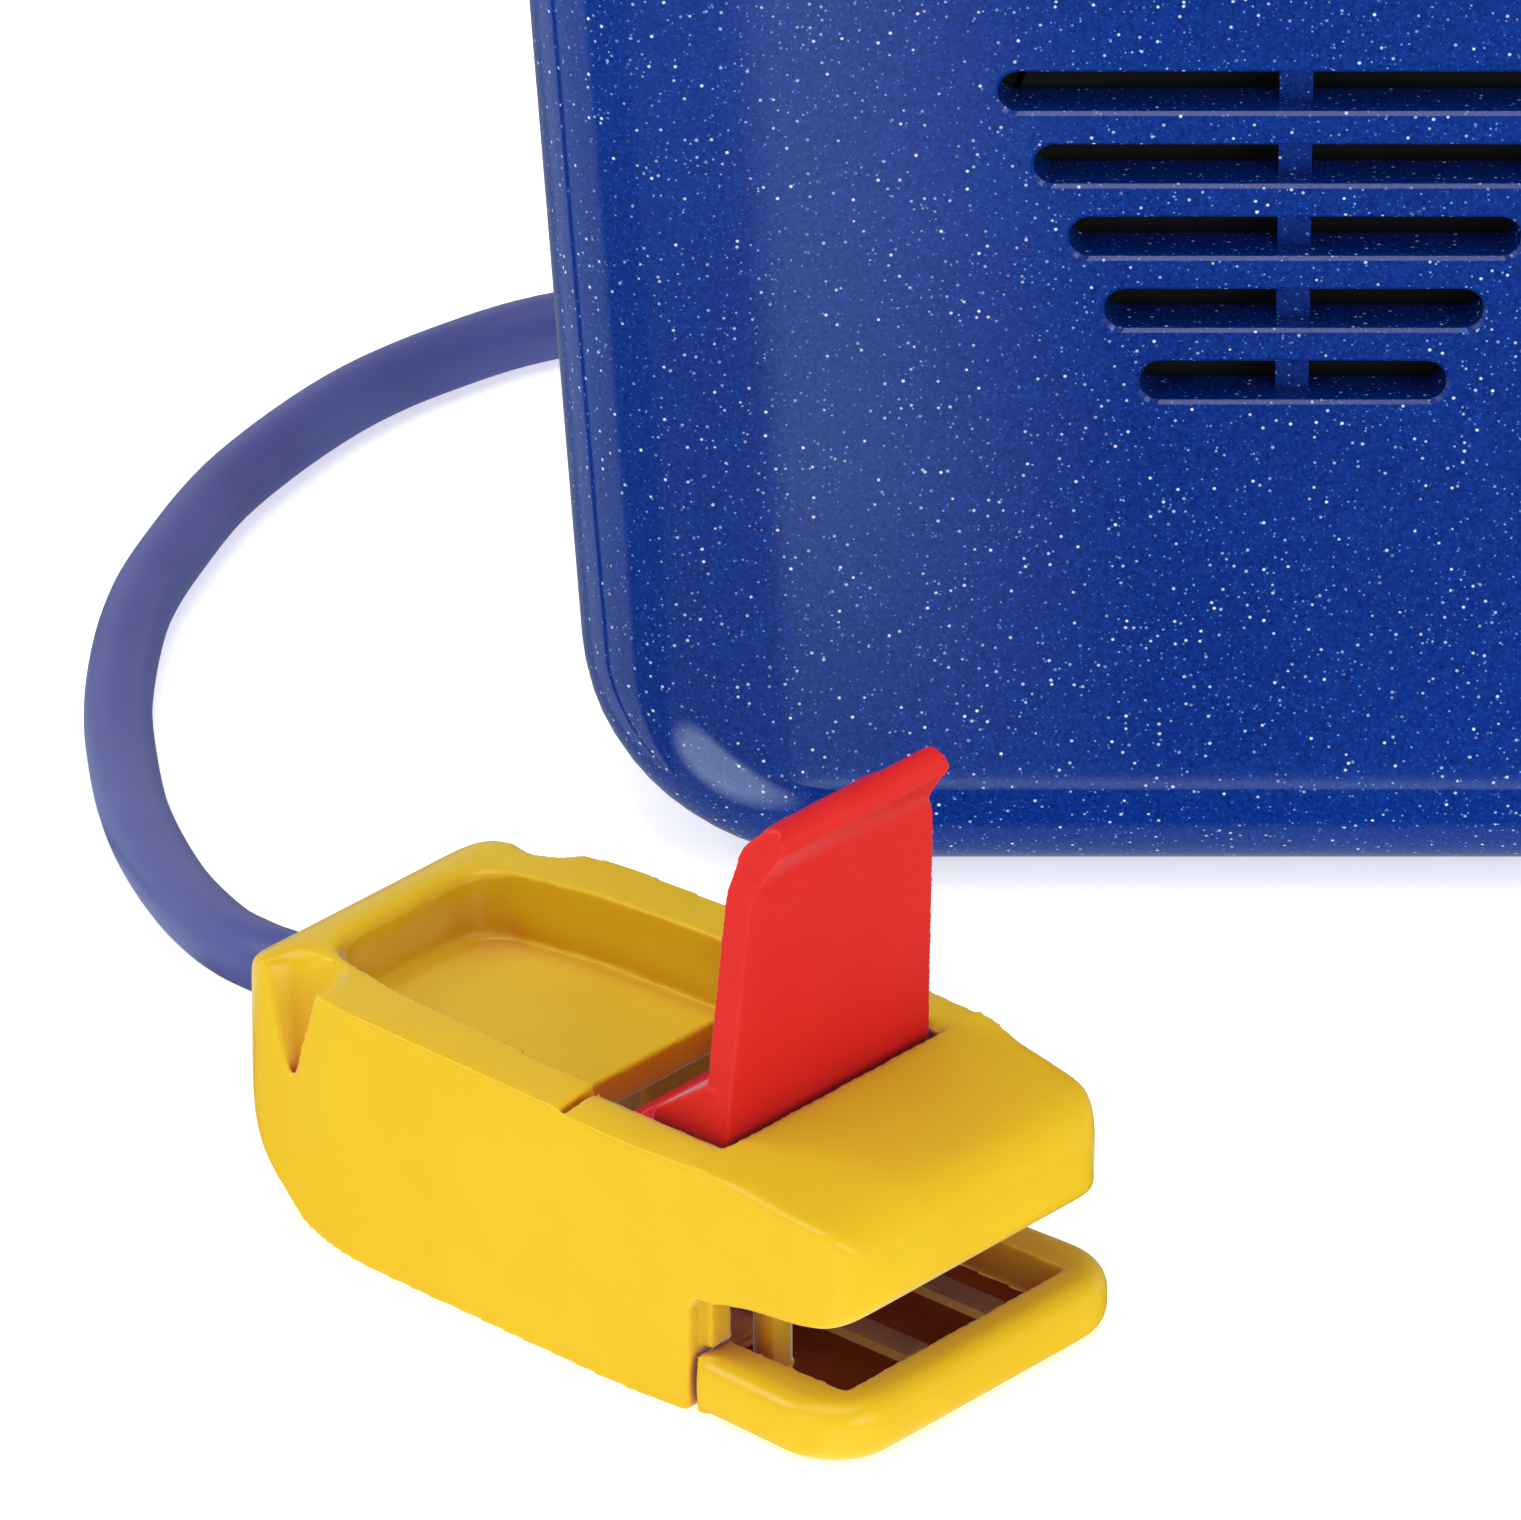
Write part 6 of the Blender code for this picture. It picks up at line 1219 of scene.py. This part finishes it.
def makeSky():
    # white all round, paler overhead, dark below the floor
    s = stageSettings
    world = bpy.data.worlds.new("studio")
    world.use_nodes = True
    tree = world.node_tree
    parts = addNode(world, "ShaderNodeSeparateXYZ", None, {0: addNode(world, "ShaderNodeTexCoord").outputs["Generated"]})
    sky = addNode(world, "ShaderNodeMapRange", {1: 0.0, 2: 0.8, 3: s["skyLow"], 4: s["skyHigh"]}, {0: parts.outputs[2]})
    ground = addNode(world, "ShaderNodeMapRange", {1: -0.03, 2: 0.0, 3: s["below"], 4: 1.0}, {0: parts.outputs[2]})
    bright = addNode(world, "ShaderNodeMath", {"operation": 'MULTIPLY'}, {0: sky.outputs[0], 1: ground.outputs[0]})
    tree.nodes["Background"].inputs["Color"].default_value = (1, 1, 1, 1)
    tree.links.new(bright.outputs[0], tree.nodes["Background"].inputs["Strength"])
    bpy.context.scene.world = world
    bpy.context.scene.view_settings.view_transform = 'Standard'


# name, place, aim, size, power
lightSettings = (
    ("overhead", (-0.1, -0.1, 0.9), (-0.01, -0.02, 0.0), 0.7, 3.6),
    ("leftHigh", (-0.68, 0.04, 0.6), (-0.02, -0.03, 0.01), 0.3, 1.0),
    ("leftFront", (-0.6, -0.6, 0.45), (-0.02, -0.03, 0.01), 0.45, 0.5),
    ("rightFront", (0.6, -0.75, 0.4), (-0.02, -0.04, 0.01), 0.6, 2.4),
)


def makeLights():
    for name, place, aim, size, power in lightSettings:
        data = bpy.data.lights.new(name, 'AREA')
        data.shape = 'SQUARE'
        data.size = size
        data.energy = power
        light = bpy.data.objects.new(name, data)
        bpy.context.scene.collection.objects.link(light)
        light.location = place
        light.rotation_euler = (Vector(aim) - Vector(place)).to_track_quat('-Z', 'Y').to_euler()


makeFloor()
makeReflector()
makeSky()
makeLights()
lead, leadExit = makeLead()
blank = makeCaseBlank()
makeCaseFront(blank)
makeCaseBack(blank)
bpy.data.objects.remove(blank, do_unlink=True)
makeBatteryDoor()
makeResetButton()
makeSignalLamp()
makeModeSlider()
makeScrews()
makeGarmentClip()
makeCells()
makeClipHousing()
makeClipBase()
makeLever()
finishKept()
plug, boot, tie = makePlug(), makePlugBoot(), makeCoilTie()
# no ghost of the clip in the glossy case
for name in ("clipHousing", "clipBase", "camLever", "sensorLead", "presser_foot", "contact_strip_left", "contact_strip_right",
             "foot_spring_left", "foot_spring_right", "lever_pin"):
    bpy.data.objects[name].visible_glossy = False
